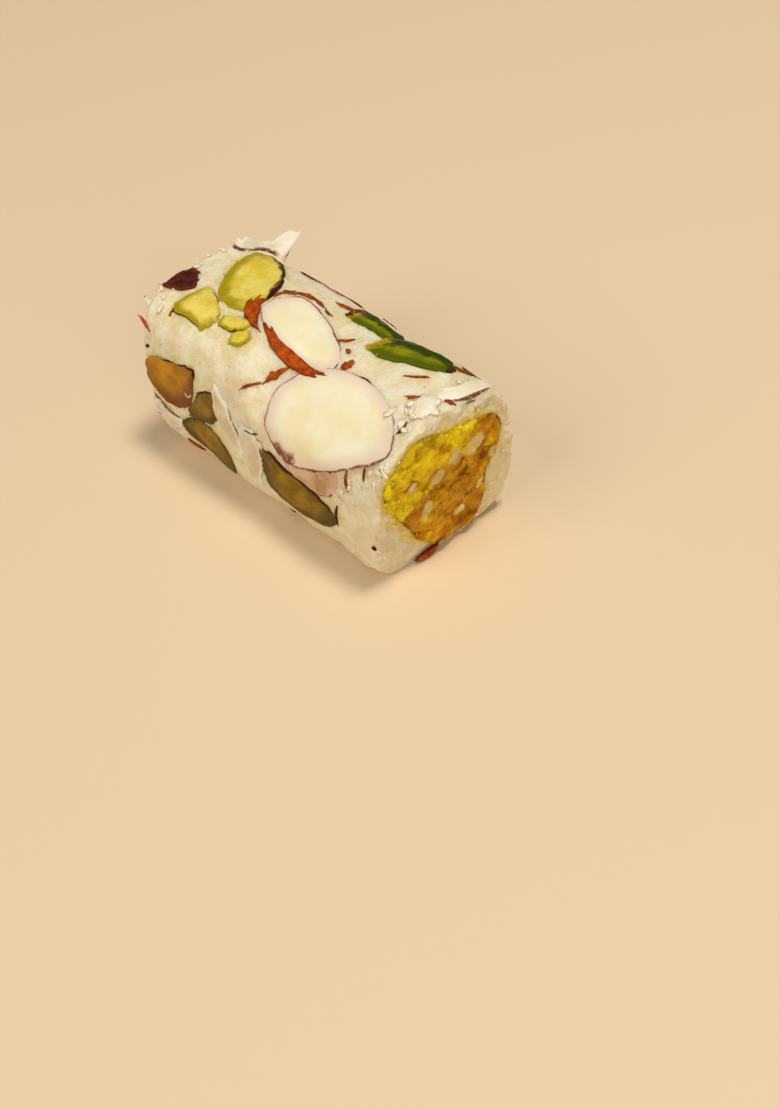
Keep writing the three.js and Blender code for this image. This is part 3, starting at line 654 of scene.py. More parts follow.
# ------------------------------------------------------------------ golden core
# Sweet yellow crumb bound with syrup, with chopped cashew in it. The roll is closed round it,
# and the knife leaves it standing a little proud of each cut, crumbly and wet.

CORE_PROUD = 0.3
CORE_SPILL = 0.5
LARGE_CRUMB = 1.5
SMALL_CRUMB = 0.55
# Chopped cashew in the near cut: y, z, turn in degrees, length, width
CASHEW_BITS = (
    (4.4, 4.6, 20, 3.0, 2.4), (0.9, 5.0, 80, 2.8, 1.8), (-1.7, 2.6, 70, 2.4, 1.8), (-3.6, -2.2, 60, 3.2, 1.4),
    (5.6, -3.5, 60, 2.0, 1.2), (2.0, -6.2, 20, 1.8, 1.1), (-6.0, 3.6, 50, 1.6, 1.0), (7.6, 1.0, 80, 1.6, 1.0),
)
FAR_CASHEW_BITS = (
    (3.2, 3.0, 20, 3.8, 2.4), (-3.6, 1.6, 70, 3.4, 2.0), (0.6, -4.2, 40, 3.6, 2.2), (-2.2, 5.2, 10, 2.6, 1.6),
)


def crumbs_of(y, z, size, seed):
    """Rounded crumbs: at each place 1 less the distance to the nearest of one random point in
    each square cell, over the cell's size, and the nearest cell's own random value."""
    rng = np.random.default_rng(seed)
    shift = rng.uniform(0, 1, (4096, 3))
    cell_y, cell_z = np.floor(y / size).astype(np.int64), np.floor(z / size).astype(np.int64)
    nearest = np.full(y.shape, 9.0)
    own = np.zeros(y.shape)
    for i in (-1, 0, 1):
        for j in (-1, 0, 1):
            key = ((cell_y + i) * 73856093 ^ (cell_z + j) * 19349663) % 4096
            point = shift[key]
            gap_y = (cell_y + i + point[..., 0]) - y / size
            gap_z = (cell_z + j + point[..., 1]) - z / size
            distance = np.hypot(gap_y, gap_z)
            closer = distance < nearest
            nearest = np.where(closer, distance, nearest)
            own = np.where(closer, point[..., 2], own)
    return 1 - nearest, own


def cashew_in_cut(bits, y, z):
    """1 inside a chopped bit of cashew and 0 outside it, over a ragged edge."""
    inside = np.zeros_like(y)
    flat = np.stack([0 * y, y, z], -1)
    ragged = 0.22 * roughly(flat, 1.0, 61) + 0.1 * roughly(flat, 0.4, 62)
    for middle_y, middle_z, turn, length, width in bits:
        c, s = math.cos(math.radians(turn)), math.sin(math.radians(turn))
        u = ((y - middle_y) * c + (z - middle_z) * s) / (length / 2)
        v = ((z - middle_z) * c - (y - middle_y) * s) / (width / 2)
        rho = (np.abs(u) ** 2.6 + np.abs(v) ** 2.6) ** (1 / 2.6)
        inside = np.maximum(inside, smooth(rho + ragged, 1.06, 0.9))
    return inside


def core_cap(cut, bits, rings, columns, seed):
    """Rings of points over a cut of the core, from its middle out: crumbs of two sizes on a
    lumpy face that stands proud and spills a little over the paste. Also its pits, its bits of
    cashew, and how lemon yellow it is."""
    angle = circle(columns)
    reach = (np.arange(1, rings + 1) / rings)[:, None]
    rim = np.linalg.norm(bore_rim(cut, angle)[:, 1:], axis=-1)
    around = np.stack([0 * angle, np.cos(angle), np.sin(angle)], -1)
    ragged = 0.45 + 0.55 * roughly(6 * around, 1.0, seed) + 0.4 * roughly(20 * around, 1.0, seed + 1)
    spill = CORE_SPILL * ragged
    radius = reach * (rim + spill)
    y, z = radius * np.cos(angle), radius * np.sin(angle)
    flat = np.stack([0 * y, y, z], -1)
    shifted_y = y + 0.5 * roughly(flat, 1.1, seed + 6)
    shifted_z = z + 0.5 * roughly(flat, 1.1, seed + 7)
    large, own = crumbs_of(shifted_y, shifted_z, LARGE_CRUMB, seed + 2)
    small, _ = crumbs_of(shifted_y, shifted_z, SMALL_CRUMB, seed + 3)
    cashew = cashew_in_cut(bits, y, z)
    lumps = 0.5 * rough_sum(flat, 2.8, 3, seed + 4) + 0.25 * large + 0.35 * (own - 0.5) + 0.12 * small - 0.2
    height = lumps * (1 - cashew) + cashew * (0.12 + 0.08 * roughly(flat, 0.9, seed + 5))
    height = height + CORE_PROUD * smooth(reach, 1.02, 0.8)
    height = height * smooth(reach, 1.0, 0.94) + (smooth(reach, 1.0, 0.94) - 1) * 0.2
    x = cut_at(cut, y, z) + np.sign(cut[0]) * height
    upper_left = (0.8 * z - 0.6 * y) / 18
    # The pit value darkens the crumb in the hollows of its relief as painted shade, more strongly away from
    # the upper left; it also makes them wetter.
    pit = smooth(lumps, 0.1, -0.35) * (0.5 + 0.5 * smooth(upper_left, 0.4, -0.1))
    patches = 0.34 * roughly(flat, 1.7, seed + 8) + 0.22 * roughly(flat, 0.6, seed + 9) + 0.3 * (own - 0.5)
    lemon = smooth(upper_left + 0.32 * reach**2 + patches, 0.1, 0.7)
    return np.stack([x, y, z], -1), pit, cashew, lemon


def core_material():
    """Wet golden crumb: deep golden to lemon yellow in patches, wetter in the pits and darkened
    brown there as painted shade, with pale, waxy cashew bits."""
    material, tree = new_material("golden_core")
    golden, grain = flesh(tree, linear(240, 178, 0), linear(206, 134, 0), 2.0, 0.5)
    color = blended(tree, measured(tree, "lemon"), golden, linear(255, 224, 24))
    pit = measured(tree, "pit")
    # Painted shade: the pits of the relief are darkened brown.
    deep = times(tree, pit, patches(tree, 1.6, 0.35, 0.65))
    color = blended(tree, times(tree, deep, 0.85), color, linear(160, 92, 0))
    orange = patches(tree, 1.3, 0.68, 0.76, 1.0)
    color = blended(tree, times(tree, orange, 0.7), color, linear(226, 120, 8))
    pale, _ = flesh(tree, linear(250, 236, 184), linear(236, 206, 124), 1.5, 0.4)
    color = blended(tree, times(tree, measured(tree, "cashew"), 0.85), color, pale)
    fine = noise_of(tree, 0.2, 3.0, 0.65)
    height = plus(tree, grain, times(tree, fine, 0.8))
    wet = arithmetic(tree, "MAXIMUM", pit, patches(tree, 0.5, 0.58, 0.64))
    roughness = shader_node(tree, "MapRange", {"Value": wet, "To Min": 0.5, "To Max": 0.12}).outputs[0]
    surface_of(
        tree, color, height, 0.3, roughness, Subsurface_Weight=0.25, Subsurface_Scale=0.0015,
        Subsurface_Radius=(1.0, 0.6, 0.05), Specular_IOR_Level=0.1, Coat_Weight=0.12, Coat_Roughness=0.08,
    )
    return material


CORE_MATERIAL = core_material()
CORE_COLUMNS = 320
near_cap, near_pit, near_cashew, near_lemon = core_cap(NEAR_CUT, CASHEW_BITS, 100, CORE_COLUMNS, 71)
far_cap, far_pit, far_cashew, far_lemon = core_cap(FAR_CUT, FAR_CASHEW_BITS, 60, CORE_COLUMNS, 81)
core_angle = circle(CORE_COLUMNS)
core_rows = []
for x in np.linspace(FAR_CUT[0] + 1.5, NEAR_CUT[0] - 1.5, 9):
    radius = bore_radius(x + 0 * core_angle, core_angle) + 0.02
    section = [x + 0 * core_angle, radius * np.cos(core_angle), radius * np.sin(core_angle)]
    core_rows.append(np.stack(section, -1))
core_side = np.stack(core_rows)
core_rings = np.concatenate([far_cap, core_side, near_cap[::-1]])
side_zero = np.zeros(core_side.shape[:2])
pit = np.concatenate([far_pit, side_zero, near_pit[::-1]])
cashew = np.concatenate([far_cashew, side_zero, near_cashew[::-1]])
lemon = np.concatenate([far_lemon, side_zero, near_lemon[::-1]])
middles = np.stack([far_cap[0].mean(0), near_cap[0].mean(0)])
core_points = np.concatenate([core_rings.reshape(-1, 3), middles])
core_values = {"pit": pit, "cashew": cashew, "lemon": lemon}
make_piece(
    "golden_filling", core_points, ring_faces(*core_rings.shape[:2], looped=False, poles=True),
    {key: with_poles(value) for key, value in core_values.items()},
    CORE_MATERIAL, ["golden_core"],
)


# ------------------------------------------------------------------ almond slices
# Almonds sliced crosswise to about a millimetre and pressed flat into the skin: ivory flesh,
# with what is left of the brown skin as a thin line along parts of the rim.

# Stretches of rim that keep their skin: (bearing in degrees, half stretch, width in mm)
ALMOND_RIMS = {
    "almond_slice_round": ((80, 62, 0.36), (145, 22, 1.5), (185, 70, 0.26), (-110, 50, 0.16), (0, 36, 0.14)),
    "almond_slice_oval": ((-105, 68, 0.32), (150, 40, 0.1)),
    "almond_flake_top": ((150, 34, 0.18),),
    "almond_flake_corner": ((90, 50, 0.15),),
    "almond_flake_tan": ((-90, 70, 0.3), (90, 60, 0.25)),
    "almond_flake_side": ((100, 50, 0.2),),
    "almond_flake_curved": ((-60, 60, 0.2),),
    "almond_flake_far": ((-90, 80, 0.4),),
    "almond_slice_back": ((60, 80, 0.3), (-120, 40, 0.15)),
    "almond_slice_back_oval": ((-90, 70, 0.3), (120, 40, 0.2)),
    "almond_slice_under": ((0, 90, 0.3),),
    "almond_flake_under": ((180, 60, 0.25),),
}


def degrees_off(bearing, centre):
    """How many degrees each bearing lies from centre."""
    return np.abs((np.degrees(bearing) - centre + 180) % 360 - 180)


def face_place(reach, bearing, along, across):
    """Places on a nut's face for random relief, stretched by along and across."""
    u, v = reach * np.cos(bearing), reach * np.sin(bearing)
    return np.stack(np.broadcast_arrays(along * u, across * v, 0 * u), -1)


def nut_surface(name, height, depth, ragged, rims, rows=34, columns=132):
    """Rings of a nut from the middle of its outer face to the middle of its inner one. height
    gives the outer face's lift from reach and bearing, ragged is how far its rim wanders, and
    rims are the stretches that keep skin. Returns points, reach, skin, and the place across."""
    seed = sum(map(ord, name))
    pocket = POCKETS[name]
    bearing = circle(columns)[None, :]
    around = unit_ring(bearing)
    half_length, half_width = outline_shape(pocket)[3:5]
    wander = ragged * (roughly(3 * around, 1.0, seed) + 0.6 * roughly(8 * around, 1.0, seed + 1))
    scale = 1 + wander / half_width
    reach = np.concatenate([np.linspace(0.02, 0.9, rows - 8), np.linspace(0.915, 1, 8)])[:, None]
    lift = height(reach, bearing)
    edge_lift = lift[-1:]
    wall_reach = np.array([1.004, 1.0, 0.985, 0.9])[:, None]
    wall_lift = np.concatenate([edge_lift - 0.06, edge_lift - 0.16, edge_lift - 0.35, edge_lift * 0 - depth])
    all_reach = np.concatenate([reach, wall_reach]) * scale
    all_lift = np.concatenate([lift, wall_lift])
    x, girth = on_outline(pocket, bearing, all_reach)
    points = skin_point(x, angle_at(girth), all_lift)
    middle_x, middle_girth = on_outline(pocket, np.zeros(2), np.zeros(2))
    middle_lift = np.array([lift[0].mean(), -depth])
    middles = skin_point(middle_x, angle_at(middle_girth), middle_lift)
    inwards = np.minimum(np.concatenate([reach, wall_reach]), 1) + 0 * bearing
    radius = np.hypot(half_length * np.cos(bearing), half_width * np.sin(bearing))
    skin = np.zeros_like(inwards)
    for centre, stretch, width in rims:
        off = degrees_off(bearing, centre)
        wide = width * (0.85 + 0.5 * roughly(3 * around, 1.0, seed + 2)) * smooth(off, stretch, 0.6 * stretch)
        wide = np.maximum(wide, 0.01)
        skin = np.maximum(skin, smooth((1 - inwards) * radius, wide * 1.25, wide * 0.6) * (wide > 0.02))
    across = inwards * np.sin(bearing)
    all_points = np.concatenate([points.reshape(-1, 3), middles])
    all_points[:, 2] = np.maximum(all_points[:, 2], TABLE)
    fields = {"reach": inwards, "skin": skin, "across": across, "along": inwards * np.cos(bearing)}
    values = {key: with_poles(value) for key, value in fields.items()}
    return all_points, ring_faces(len(all_reach), columns, looped=False, poles=True), values


def almond_height(name, proud):
    """Lift of a slice: nearly flat, falling to a third at its rim, with a faint random relief.
    The round slice's low side has come away from the dough and stands off it."""
    seed = sum(map(ord, name)) + 7

    def height(reach, bearing):
        place = face_place(reach, bearing, 4, 4)
        lift = proud * (1 - 0.7 * reach**5) + 0.05 * roughly(place, 1.6, seed)
        if name == "almond_slice_round":
            off = degrees_off(bearing, 85)
            lift = lift + 0.4 * smooth(off, 75, 30) * smooth(reach, 0.6, 1.0)
        return lift

    return height


def almond_material(name, light, dark, rim, skin_color):
    """Ivory almond flesh, paler or pinker towards its rim, and its line of skin."""
    material, tree = new_material(name)
    body, grain = flesh(tree, light, dark, 4.0, 0.4)
    reach = measured(tree, "reach")
    color = blended(tree, stepped(tree, reach, 0.68, 1.02), body, rim)
    skin = times(tree, measured(tree, "skin"), patches(tree, 0.7, 0.25, 0.5))
    color = blended(tree, skin, color, skin_color)
    fine = noise_of(tree, 0.25, 3.0, 0.6)
    height = plus(tree, times(tree, grain, 0.6), times(tree, fine, 0.3))
    roughness = patches(tree, 1.1, -0.7, 1.5)
    surface_of(
        tree, color, height, 0.07, roughness, Subsurface_Weight=0.3, Subsurface_Scale=0.0016,
        Subsurface_Radius=(1.0, 0.75, 0.45), Specular_IOR_Level=0.45,
    )
    return material


IVORY = almond_material(
    "almond_ivory", linear(255, 247, 222), linear(252, 239, 200), linear(240, 218, 202), linear(132, 48, 34)
)
# A darker copy of the ivory for the flakes on the shaded side of the roll: painted shade, with a paler rim as
# a painted highlight along their edges.
SHADED_FLAKE = almond_material(
    "almond_flake", linear(240, 228, 204), linear(218, 198, 164), linear(254, 250, 238), linear(120, 66, 36)
)
TAN_FLAKE = almond_material(
    "almond_tan_flake", linear(226, 192, 156), linear(180, 128, 80), linear(224, 184, 150), linear(96, 38, 34)
)
WHITE_FLAKE = almond_material(
    "almond_white_flake", linear(255, 250, 236), linear(244, 230, 202), linear(252, 244, 226),
    linear(120, 60, 36),
)
ALMOND_MATERIALS = {
    "almond_flake_tan": TAN_FLAKE, "almond_flake_corner": WHITE_FLAKE, "almond_flake_top": WHITE_FLAKE,
}
FLAKE_HEIGHTS = {"almond_flake_corner": 0.5, "almond_flake_top": 0.45, "almond_flake_curved": 0.4}
RAGGED = {"almond_slice_round": 0.16, "almond_slice_oval": 0.14}
RAGGED_FLAKE = 0.22
SLICE_HEIGHT = 0.25
SLICE_DEPTH = 1.0
for name, rims in ALMOND_RIMS.items():
    whole = name.startswith("almond_slice")
    lift = almond_height(name, FLAKE_HEIGHTS.get(name, SLICE_HEIGHT))
    points, faces, values = nut_surface(name, lift, SLICE_DEPTH, RAGGED.get(name, RAGGED_FLAKE), rims)
    material = ALMOND_MATERIALS.get(name, IVORY if whole else SHADED_FLAKE)
    make_piece(name + "_flesh", points, faces, values, material, [name])


# The flake that stands up from the far end's upper back edge: thin, low along most of its base,
# then rising to a tall ragged tip that leans out. A dark line of skin runs along its foot.
CURL_FROM = (-25.0, math.radians(68))
CURL_TO = (-19.8, math.radians(45))
CURL_SUNK = 1.0
CURL_THICKNESS = 0.55
CURL_RISE = 2.34
CURL_SADDLE = 2.0
CURL_TIP = 4.9
CURL_TIP_REACH = 0.75
CURL_HUMP_END = 0.74
CURL_TIP_FROM = 0.58
CURL_TIP_TO = 0.95
CURL_WAVE = 0.8
CURL_LEAN = 0.1


def standing_flake(steps=64, levels=16):
    """Sections along the flake's foot, each up its front and down its back. Height along the foot
    is the larger of a low hump and an eased rise to the tip; the flake waves and leans with its
    height, thins upwards, and its top edge is ragged. Also how dark with skin its foot is."""
    start = skin_point(np.array([CURL_FROM[0]]), np.array([CURL_FROM[1]]))[0]
    end = skin_point(np.array([CURL_TO[0]]), np.array([CURL_TO[1]]))[0]
    base = end - start
    side = np.cross(base, [0, 0, 1])
    side = side / np.linalg.norm(side)
    t = np.linspace(0, 1, steps)[:, None]
    hump = CURL_RISE * np.sin(np.pi * np.minimum(t / CURL_HUMP_END, 1))
    top = np.maximum(hump, CURL_TIP * smooth(t, CURL_TIP_FROM, CURL_TIP_TO))
    ragged = 0.94 + 0.1 * roughly(np.stack([t * 14, 0 * t, 0 * t], -1), 1.0, 5)
    top = np.maximum(top, CURL_SADDLE * smooth(t, 0.0, 0.2)) * ragged
    level = np.concatenate([np.linspace(0, 1, levels), np.linspace(1, 0, levels)])[None, :]
    flank = np.concatenate([np.ones(levels), -np.ones(levels)])[None, :]
    height = level * (top + CURL_SUNK) - CURL_SUNK
    out = np.maximum(height, 0)
    wave = CURL_WAVE * np.sin(TURN * t) - CURL_LEAN * out**2
    ends = smooth(t, 0, 0.05) * smooth(t, 1, 0.95)
    half = CURL_THICKNESS / 2 * (1 - 0.75 * level**3) * (0.15 + 0.85 * ends)
    place = np.stack([t * 9 + 0 * height, height, 0 * t * height], -1)
    wrinkle = 0.16 * roughly(place, 1.0, 6) * smooth(out, 0, 1)
    overhang = CURL_TIP_REACH * out * smooth(t, 0.5, 1) / np.linalg.norm(base)
    points = start + base * (t + overhang)[..., None] + side * (flank * half + wave + wrinkle)[..., None]
    points[..., 2] += height
    foot = smooth(out, 0.95, 0.75) * smooth(t, 0.02, 0.1) * smooth(t, 0.95, 0.8) + 0 * flank
    return points, foot


flake, foot = standing_flake()
flake_points = np.concatenate([flake.reshape(-1, 3), flake[0].mean(0)[None], flake[-1].mean(0)[None]])
flake_values = {"reach": with_poles(0.6 + 0 * foot), "skin": with_poles(foot)}
CURL_MATERIAL = almond_material(
    "almond_curl", linear(254, 249, 238), linear(246, 236, 216), linear(250, 242, 226), linear(104, 50, 20)
)
make_piece(
    "almond_curl", flake_points, ring_faces(*flake.shape[:2], looped=False, poles=True), flake_values,
    CURL_MATERIAL, ["almond_flake_standing"],
)


# ------------------------------------------------------------------ nut skin
# Pieces of the papery brown skin of almonds, ribbed along their length, and one dark purple
# brown pistachio husk chip. They lie in the dough like the nuts, thin and slightly curled.

def skin_height(proud, ribs, seed):
    """Lift of a piece of skin: low, ribbed along its length, with one edge curled up."""

    def height(reach, bearing):
        place = face_place(reach, bearing, 2, ribs)
        curl = 0.18 * smooth(reach * np.sin(bearing), 0.3, 1.0)
        return proud * (1 - 0.5 * reach**4) + 0.07 * roughly(place, 1.0, seed) + curl

    return height


def skin_material(name, light, dark, edge, roughness_low, coat):
    """Brown nut skin: streaks of light and dark along its ribs, darker at its edge."""
    material, tree = new_material(name)
    streak, grain = flesh(tree, light, dark, 0.9, 0.25)
    color = blended(tree, stepped(tree, measured(tree, "reach"), 0.7, 1.0), streak, edge)
    light_side = times(tree, patches(tree, 0.5, 0.55, 0.75), 0.35)
    color = blended(tree, light_side, color, light)
    roughness = patches(tree, 0.6, roughness_low, 1.6)
    surface_of(
        tree, color, grain, 0.12, roughness, Specular_IOR_Level=0.15, Coat_Weight=coat, Coat_Roughness=0.2,
    )
    return material


ALMOND_SKIN = skin_material(
    "almond_skin", linear(194, 90, 4), linear(152, 56, 0), linear(128, 42, 0), -1.2, 0.0
)
DARK_SKIN = skin_material(
    "dark_skin", linear(96, 34, 12), linear(52, 10, 8), linear(112, 42, 6), -0.6, 0.12
)
SKIN_DEPTH = 0.7
for index, name in enumerate(("skin_of_oval_far", "skin_of_oval_low", "skin_chip_back", "skin_chip_dark")):
    dark = name == "skin_chip_dark"
    points, faces, values = nut_surface(name, skin_height(0.25, 4, 90 + index), SKIN_DEPTH, 0.2, ())
    make_piece(
        name + "_piece", points, faces, values, DARK_SKIN if dark else ALMOND_SKIN,
        [name],
    )


# Shreds of almond skin and hairs of husk too small to have a pocket: x, angle, turn, length,
# width, and how dark they are (0 bright brown to 1 nearly black)
SHREDS = (
    (-0.7, 140, -46, 3.4, 0.45, 0.2), (1.3, 127, -67, 4.7, 0.95, 0.1), (5.9, 84.7, -36, 2.7, 0.6, 0.2),
    (8.5, 91, 20, 1.1, 0.8, 0.3), (10.5, 99.5, -79, 2.1, 1.3, 0.1), (-0.7, 60, -12, 3.4, 1.0, 0.2),
    (1.0, 58.7, -97, 3.2, 0.8, 0.5), (2.2, 52.5, 13, 2.8, 0.6, 0.6), (22.5, 93.6, -23, 3.6, 1.0, 0.1),
    (25.4, 82.7, -10, 2.6, 0.8, 0.4), (24.3, 114, -82, 2.2, 0.35, 0.8), (14.5, 101, -1, 2.8, 0.3, 0.8),
    (19.6, 160, 80, 2.7, 0.45, 0.3), (19.4, 79.6, -37, 3.4, 0.28, 0.3), (-10.3, 49, 0, 5.8, 0.3, 0.6),
    (-4.7, 47, -11, 5.6, 0.3, 0.5), (-23.7, 140.8, 26, 3.1, 0.5, 0.1), (-22.8, 153, 0, 0.7, 0.6, 1.0),
    (20.9, 53.5, -36, 3.0, 0.9, 0.5), (24.1, 198, 0, 0.8, 0.6, 0.9), (17.0, 191.5, 100, 4.0, 0.4, 0.9),
    (-6.4, 162.6, 63, 2.4, 0.25, 0.7), (-4.8, 169.9, 29, 2.5, 0.25, 0.7), (-0.2, 168.7, -11, 4.4, 0.35, 0.8),
    (-20.4, 202.2, -8, 5.4, 0.7, 0.5), (22.4, 150, 70, 1.6, 0.3, 0.6), (-19.5, 128, 80, 1.2, 0.25, 0.4),
    (-8.8, 82.5, -88, 2.4, 0.8, 0.3), (-7.9, 75.2, -32, 2.6, 1.0, 0.35), (-5.6, 71.1, -17, 3.2, 0.8, 0.3),
    (-3.2, 69.9, 7, 2.6, 0.6, 0.4), (-0.9, 72.1, 18, 2.7, 0.4, 0.5), (-11.4, 77, 70, 3.0, 0.5, 0.6),
    (12.0, 15, -20, 3.0, 0.7, 0.2), (-16.0, 215, 25, 3.2, 0.7, 0.2), (5.0, -5, 60, 2.4, 0.4, 0.5),
    (-2.0, -20, 10, 3.0, 0.5, 0.3), (19.0, -2, -50, 2.2, 0.6, 0.2), (-18.0, 20, 70, 2.8, 0.3, 0.8),
    (4.0, 225, -30, 2.6, 0.5, 0.3), (-22.0, 320, 15, 2.4, 0.5, 0.2), (14.0, 318, 80, 2.0, 0.4, 0.6),
    (22.0, 10, 85, 2.6, 0.3, 0.8), (1.0, 255, 40, 2.2, 0.4, 0.4), (-4.0, 28, -60, 2.0, 0.4, 0.3),
)


def skin_shreds(rows=7, columns=18):
    """Low lens-shaped strips on the skin, ragged along their rims and bowed at random: rings
    from the middle of each outwards, then under. Returns points, faces, reach and darkness."""
    bearing = circle(columns)[None, :]
    around = unit_ring(bearing)
    reach = np.array([0.15, 0.5, 0.8, 1.0, 1.0, 0.8, 0.3])[:, None]
    lift = np.array([0.2, 0.18, 0.14, 0.04, -0.1, -0.2, -0.2])[:, None]
    points, faces, reaches, darkness = [], [], [], []
    for index, (x, angle, turn, length, width, dark) in enumerate(SHREDS):
        bow = 0.35 * math.sin(2.4 * index) * min(length, 3) / 3
        pocket = dict(at=(x, angle, turn), size=(length, width), square=1.6, bend=bow)
        ragged = 1 + 0.34 * roughly(6 * around + index, 1.0, 200 + index)
        at_x, girth = on_outline(pocket, bearing, reach * ragged)
        ring = skin_point(at_x, angle_at(girth), lift + 0 * bearing)
        middles = np.stack([ring[0].mean(0), ring[-1].mean(0)])
        faces.append(ring_faces(rows, columns, looped=False, poles=True) + sum(map(len, points)))
        points.append(np.concatenate([ring.reshape(-1, 3), middles]))
        reaches.append(with_poles(reach + 0 * bearing))
        darkness.append(np.full(rows * columns + 2, dark))
    return [np.concatenate(part) for part in (points, faces, reaches, darkness)]


def shred_material():
    """Bright brown to nearly black by each shred's own darkness, streaked."""
    material, tree = new_material("skin_shreds")
    streak, grain = flesh(tree, linear(194, 100, 12), linear(152, 62, 0), 0.6, 0.2)
    color = blended(tree, measured(tree, "dark"), streak, linear(48, 14, 6))
    surface_of(tree, color, grain, 0.1, patches(tree, 0.6, -1.0, 1.6), Specular_IOR_Level=0.15)
    return material


points, faces, reaches, darkness = skin_shreds()
points[:, 2] = np.maximum(points[:, 2], TABLE)
make_piece(
    "skin_shreds", points, faces, {"reach": reaches, "dark": darkness}, shred_material(),
    ["cashew_paste"],
)

# The curved sliver of skin that lies in the near cut, near its foot: y, z, turn, length, width
CUT_SKIN = (-3.3, -11.2, 8, 4.2, 1.2)


def skin_in_cut(rows=14, columns=48):
    """A bowed lens on the near cut: half an ellipse's height over each place, ribbed."""
    y, z, turn, length, width = CUT_SKIN
    bearing = circle(columns)[None, :]
    reach = np.concatenate([np.linspace(0.1, 1, rows - 3), [1.0, 0.8, 0.3]])[:, None]
    u = reach * np.cos(bearing) * length / 2
    v = reach * np.sin(bearing) * width / 2 + 0.4 * (u / length * 2) ** 2 - 0.2
    c, s = math.cos(math.radians(turn)), math.sin(math.radians(turn))
    flat_y, flat_z = y + u * c - v * s, z + u * s + v * c
    height = 0.4 * np.sqrt(np.maximum(1 - reach**2, 0))
    height = height + 0.05 * roughly(np.stack([u, 4 * v, 0 * u], -1), 1.0, 96)
    height[-3:] = np.array([-0.1, -0.35, -0.4])[:, None]
    x = cut_at(NEAR_CUT, flat_y, flat_z) + height
    ring = np.stack([x, flat_y, flat_z], -1)
    middles = np.stack([ring[0].mean(0), ring[-1].mean(0)])
    reaches = with_poles(np.minimum(reach + 0 * bearing, 1))
    faces = ring_faces(len(reach), columns, looped=False, poles=True)
    return np.concatenate([ring.reshape(-1, 3), middles]), faces, reaches


points, faces, reaches = skin_in_cut()
points[:, 2] = np.maximum(points[:, 2], TABLE)
make_piece("skin_on_cut", points, faces, {"reach": reaches}, ALMOND_SKIN, ["skin_chip_on_cut"])


# ------------------------------------------------------------------ pistachios
# Pistachio kernels cut into chunks, halves and slivers: waxy yellow flesh that turns green
# outwards, with the purple brown seed skin left as a dark line along some cut edges.

PISTACHIO_RIMS = {
    "pistachio_chunk_large": ((-100, 74, 1.3),),
    "pistachio_chunk_square": ((105, 48, 0.22), (-67, 40, 0.18)),
    "pistachio_bit_low": (),
    "pistachio_bit_high": ((90, 60, 0.12),),
    "pistachio_back_chunk": ((60, 60, 0.6),),
    "pistachio_back_square": ((-90, 50, 0.25),),
    "pistachio_under_chunk": ((-60, 60, 0.5),),
}
OLIVE_RIMS = {
    "pistachio_side_short": ((-45, 55, 0.7),),
    "pistachio_side_long": ((-35, 62, 0.45),),
    "pistachio_side_low": ((-100, 65, 0.35),),
    "pistachio_side_sliver": ((-82, 72, 0.5),),
    "pistachio_under_sliver": ((90, 60, 0.4),),
}
SLIVER_RIMS = {
    "pistachio_sliver_thin": ((-100, 75, 0.2), (180, 45, 1.0)),
    "pistachio_sliver_thick": ((-60, 50, 0.25), (0, 22, 0.8)),
    "pistachio_back_sliver": ((-100, 75, 0.25),),
}
PISTACHIO_DEPTH = 1.6


def kernel_height(proud, seed, crown=2.5):
    """Lift of a cut kernel: a low crown, falling to a third at the rim, with a knife's shallow
    waves across it."""

    def height(reach, bearing):
        place = face_place(reach, bearing, 1.5, 2.5)
        return proud * (1 - 0.7 * reach**crown) + 0.09 * roughly(place, 0.8, seed) * (1 - reach**4)

    return height


def sliver_height(proud, seed):
    """Lift of a sliver: a ridge along it nearer its upper edge, falling straight to both edges,
    notched at random."""

    def height(reach, bearing):
        along, across = reach * np.cos(bearing), reach * np.sin(bearing)
        ridge = np.where(across < -0.35, (1 + across) / 0.65, (1 - across) / 1.35)
        ridge = np.clip(ridge, 0, 1) * smooth(np.abs(along), 1.0, 0.5)
        notch = roughly(face_place(reach, bearing, 3, 2), 0.7, seed)
        return proud * (0.3 + 0.7 * ridge) * (1 + 0.22 * notch)

    return height


def pistachio_material(name, inner, mid, outer, skin_color, turn_at, shadow=None):
    """Kernel flesh: inner to mid colours in soft patches, turning to the outer green by its own
    reach and across values, and its line of dark skin."""
    material, tree = new_material(name)
    body, grain = flesh(tree, inner, mid, 2.6, 0.4)
    reach, across = measured(tree, "reach"), measured(tree, "across")
    lean = plus(tree, reach, times(tree, across, turn_at[2]))
    wandering = plus(tree, lean, times(tree, noise_of(tree, 1.6), 0.35))
    color = blended(tree, stepped(tree, wandering, turn_at[0] + 0.17, turn_at[1] + 0.17), body, outer)
    if shadow:
        upper = plus(tree, across, times(tree, noise_of(tree, 1.2), 0.5))
        color = blended(tree, stepped(tree, upper, 0.5, 0.16), color, shadow)
        tip = stepped(tree, plus(tree, measured(tree, "along"), noise_of(tree, 1.0)), -0.1, -0.4)
        color = blended(tree, times(tree, tip, 0.8), color, linear(206, 168, 14))
    skin = times(tree, measured(tree, "skin"), patches(tree, 0.8, 0.1, 0.32))
    color = blended(tree, skin, color, skin_color)
    streaks = noise_of(tree, 0.35, 3.0, 0.6, (0.4, 1.0, 1.0))
    height = plus(tree, times(tree, grain, 0.5), times(tree, streaks, 0.5))
    roughness = patches(tree, 0.9, -0.5, 1.7)
    surface_of(
        tree, color, height, 0.1, roughness, Subsurface_Weight=0.3, Subsurface_Scale=0.0014,
        Subsurface_Radius=(1.0, 0.9, 0.15), Specular_IOR_Level=0.12, Coat_Weight=0.05, Coat_Roughness=0.2,
    )
    return material


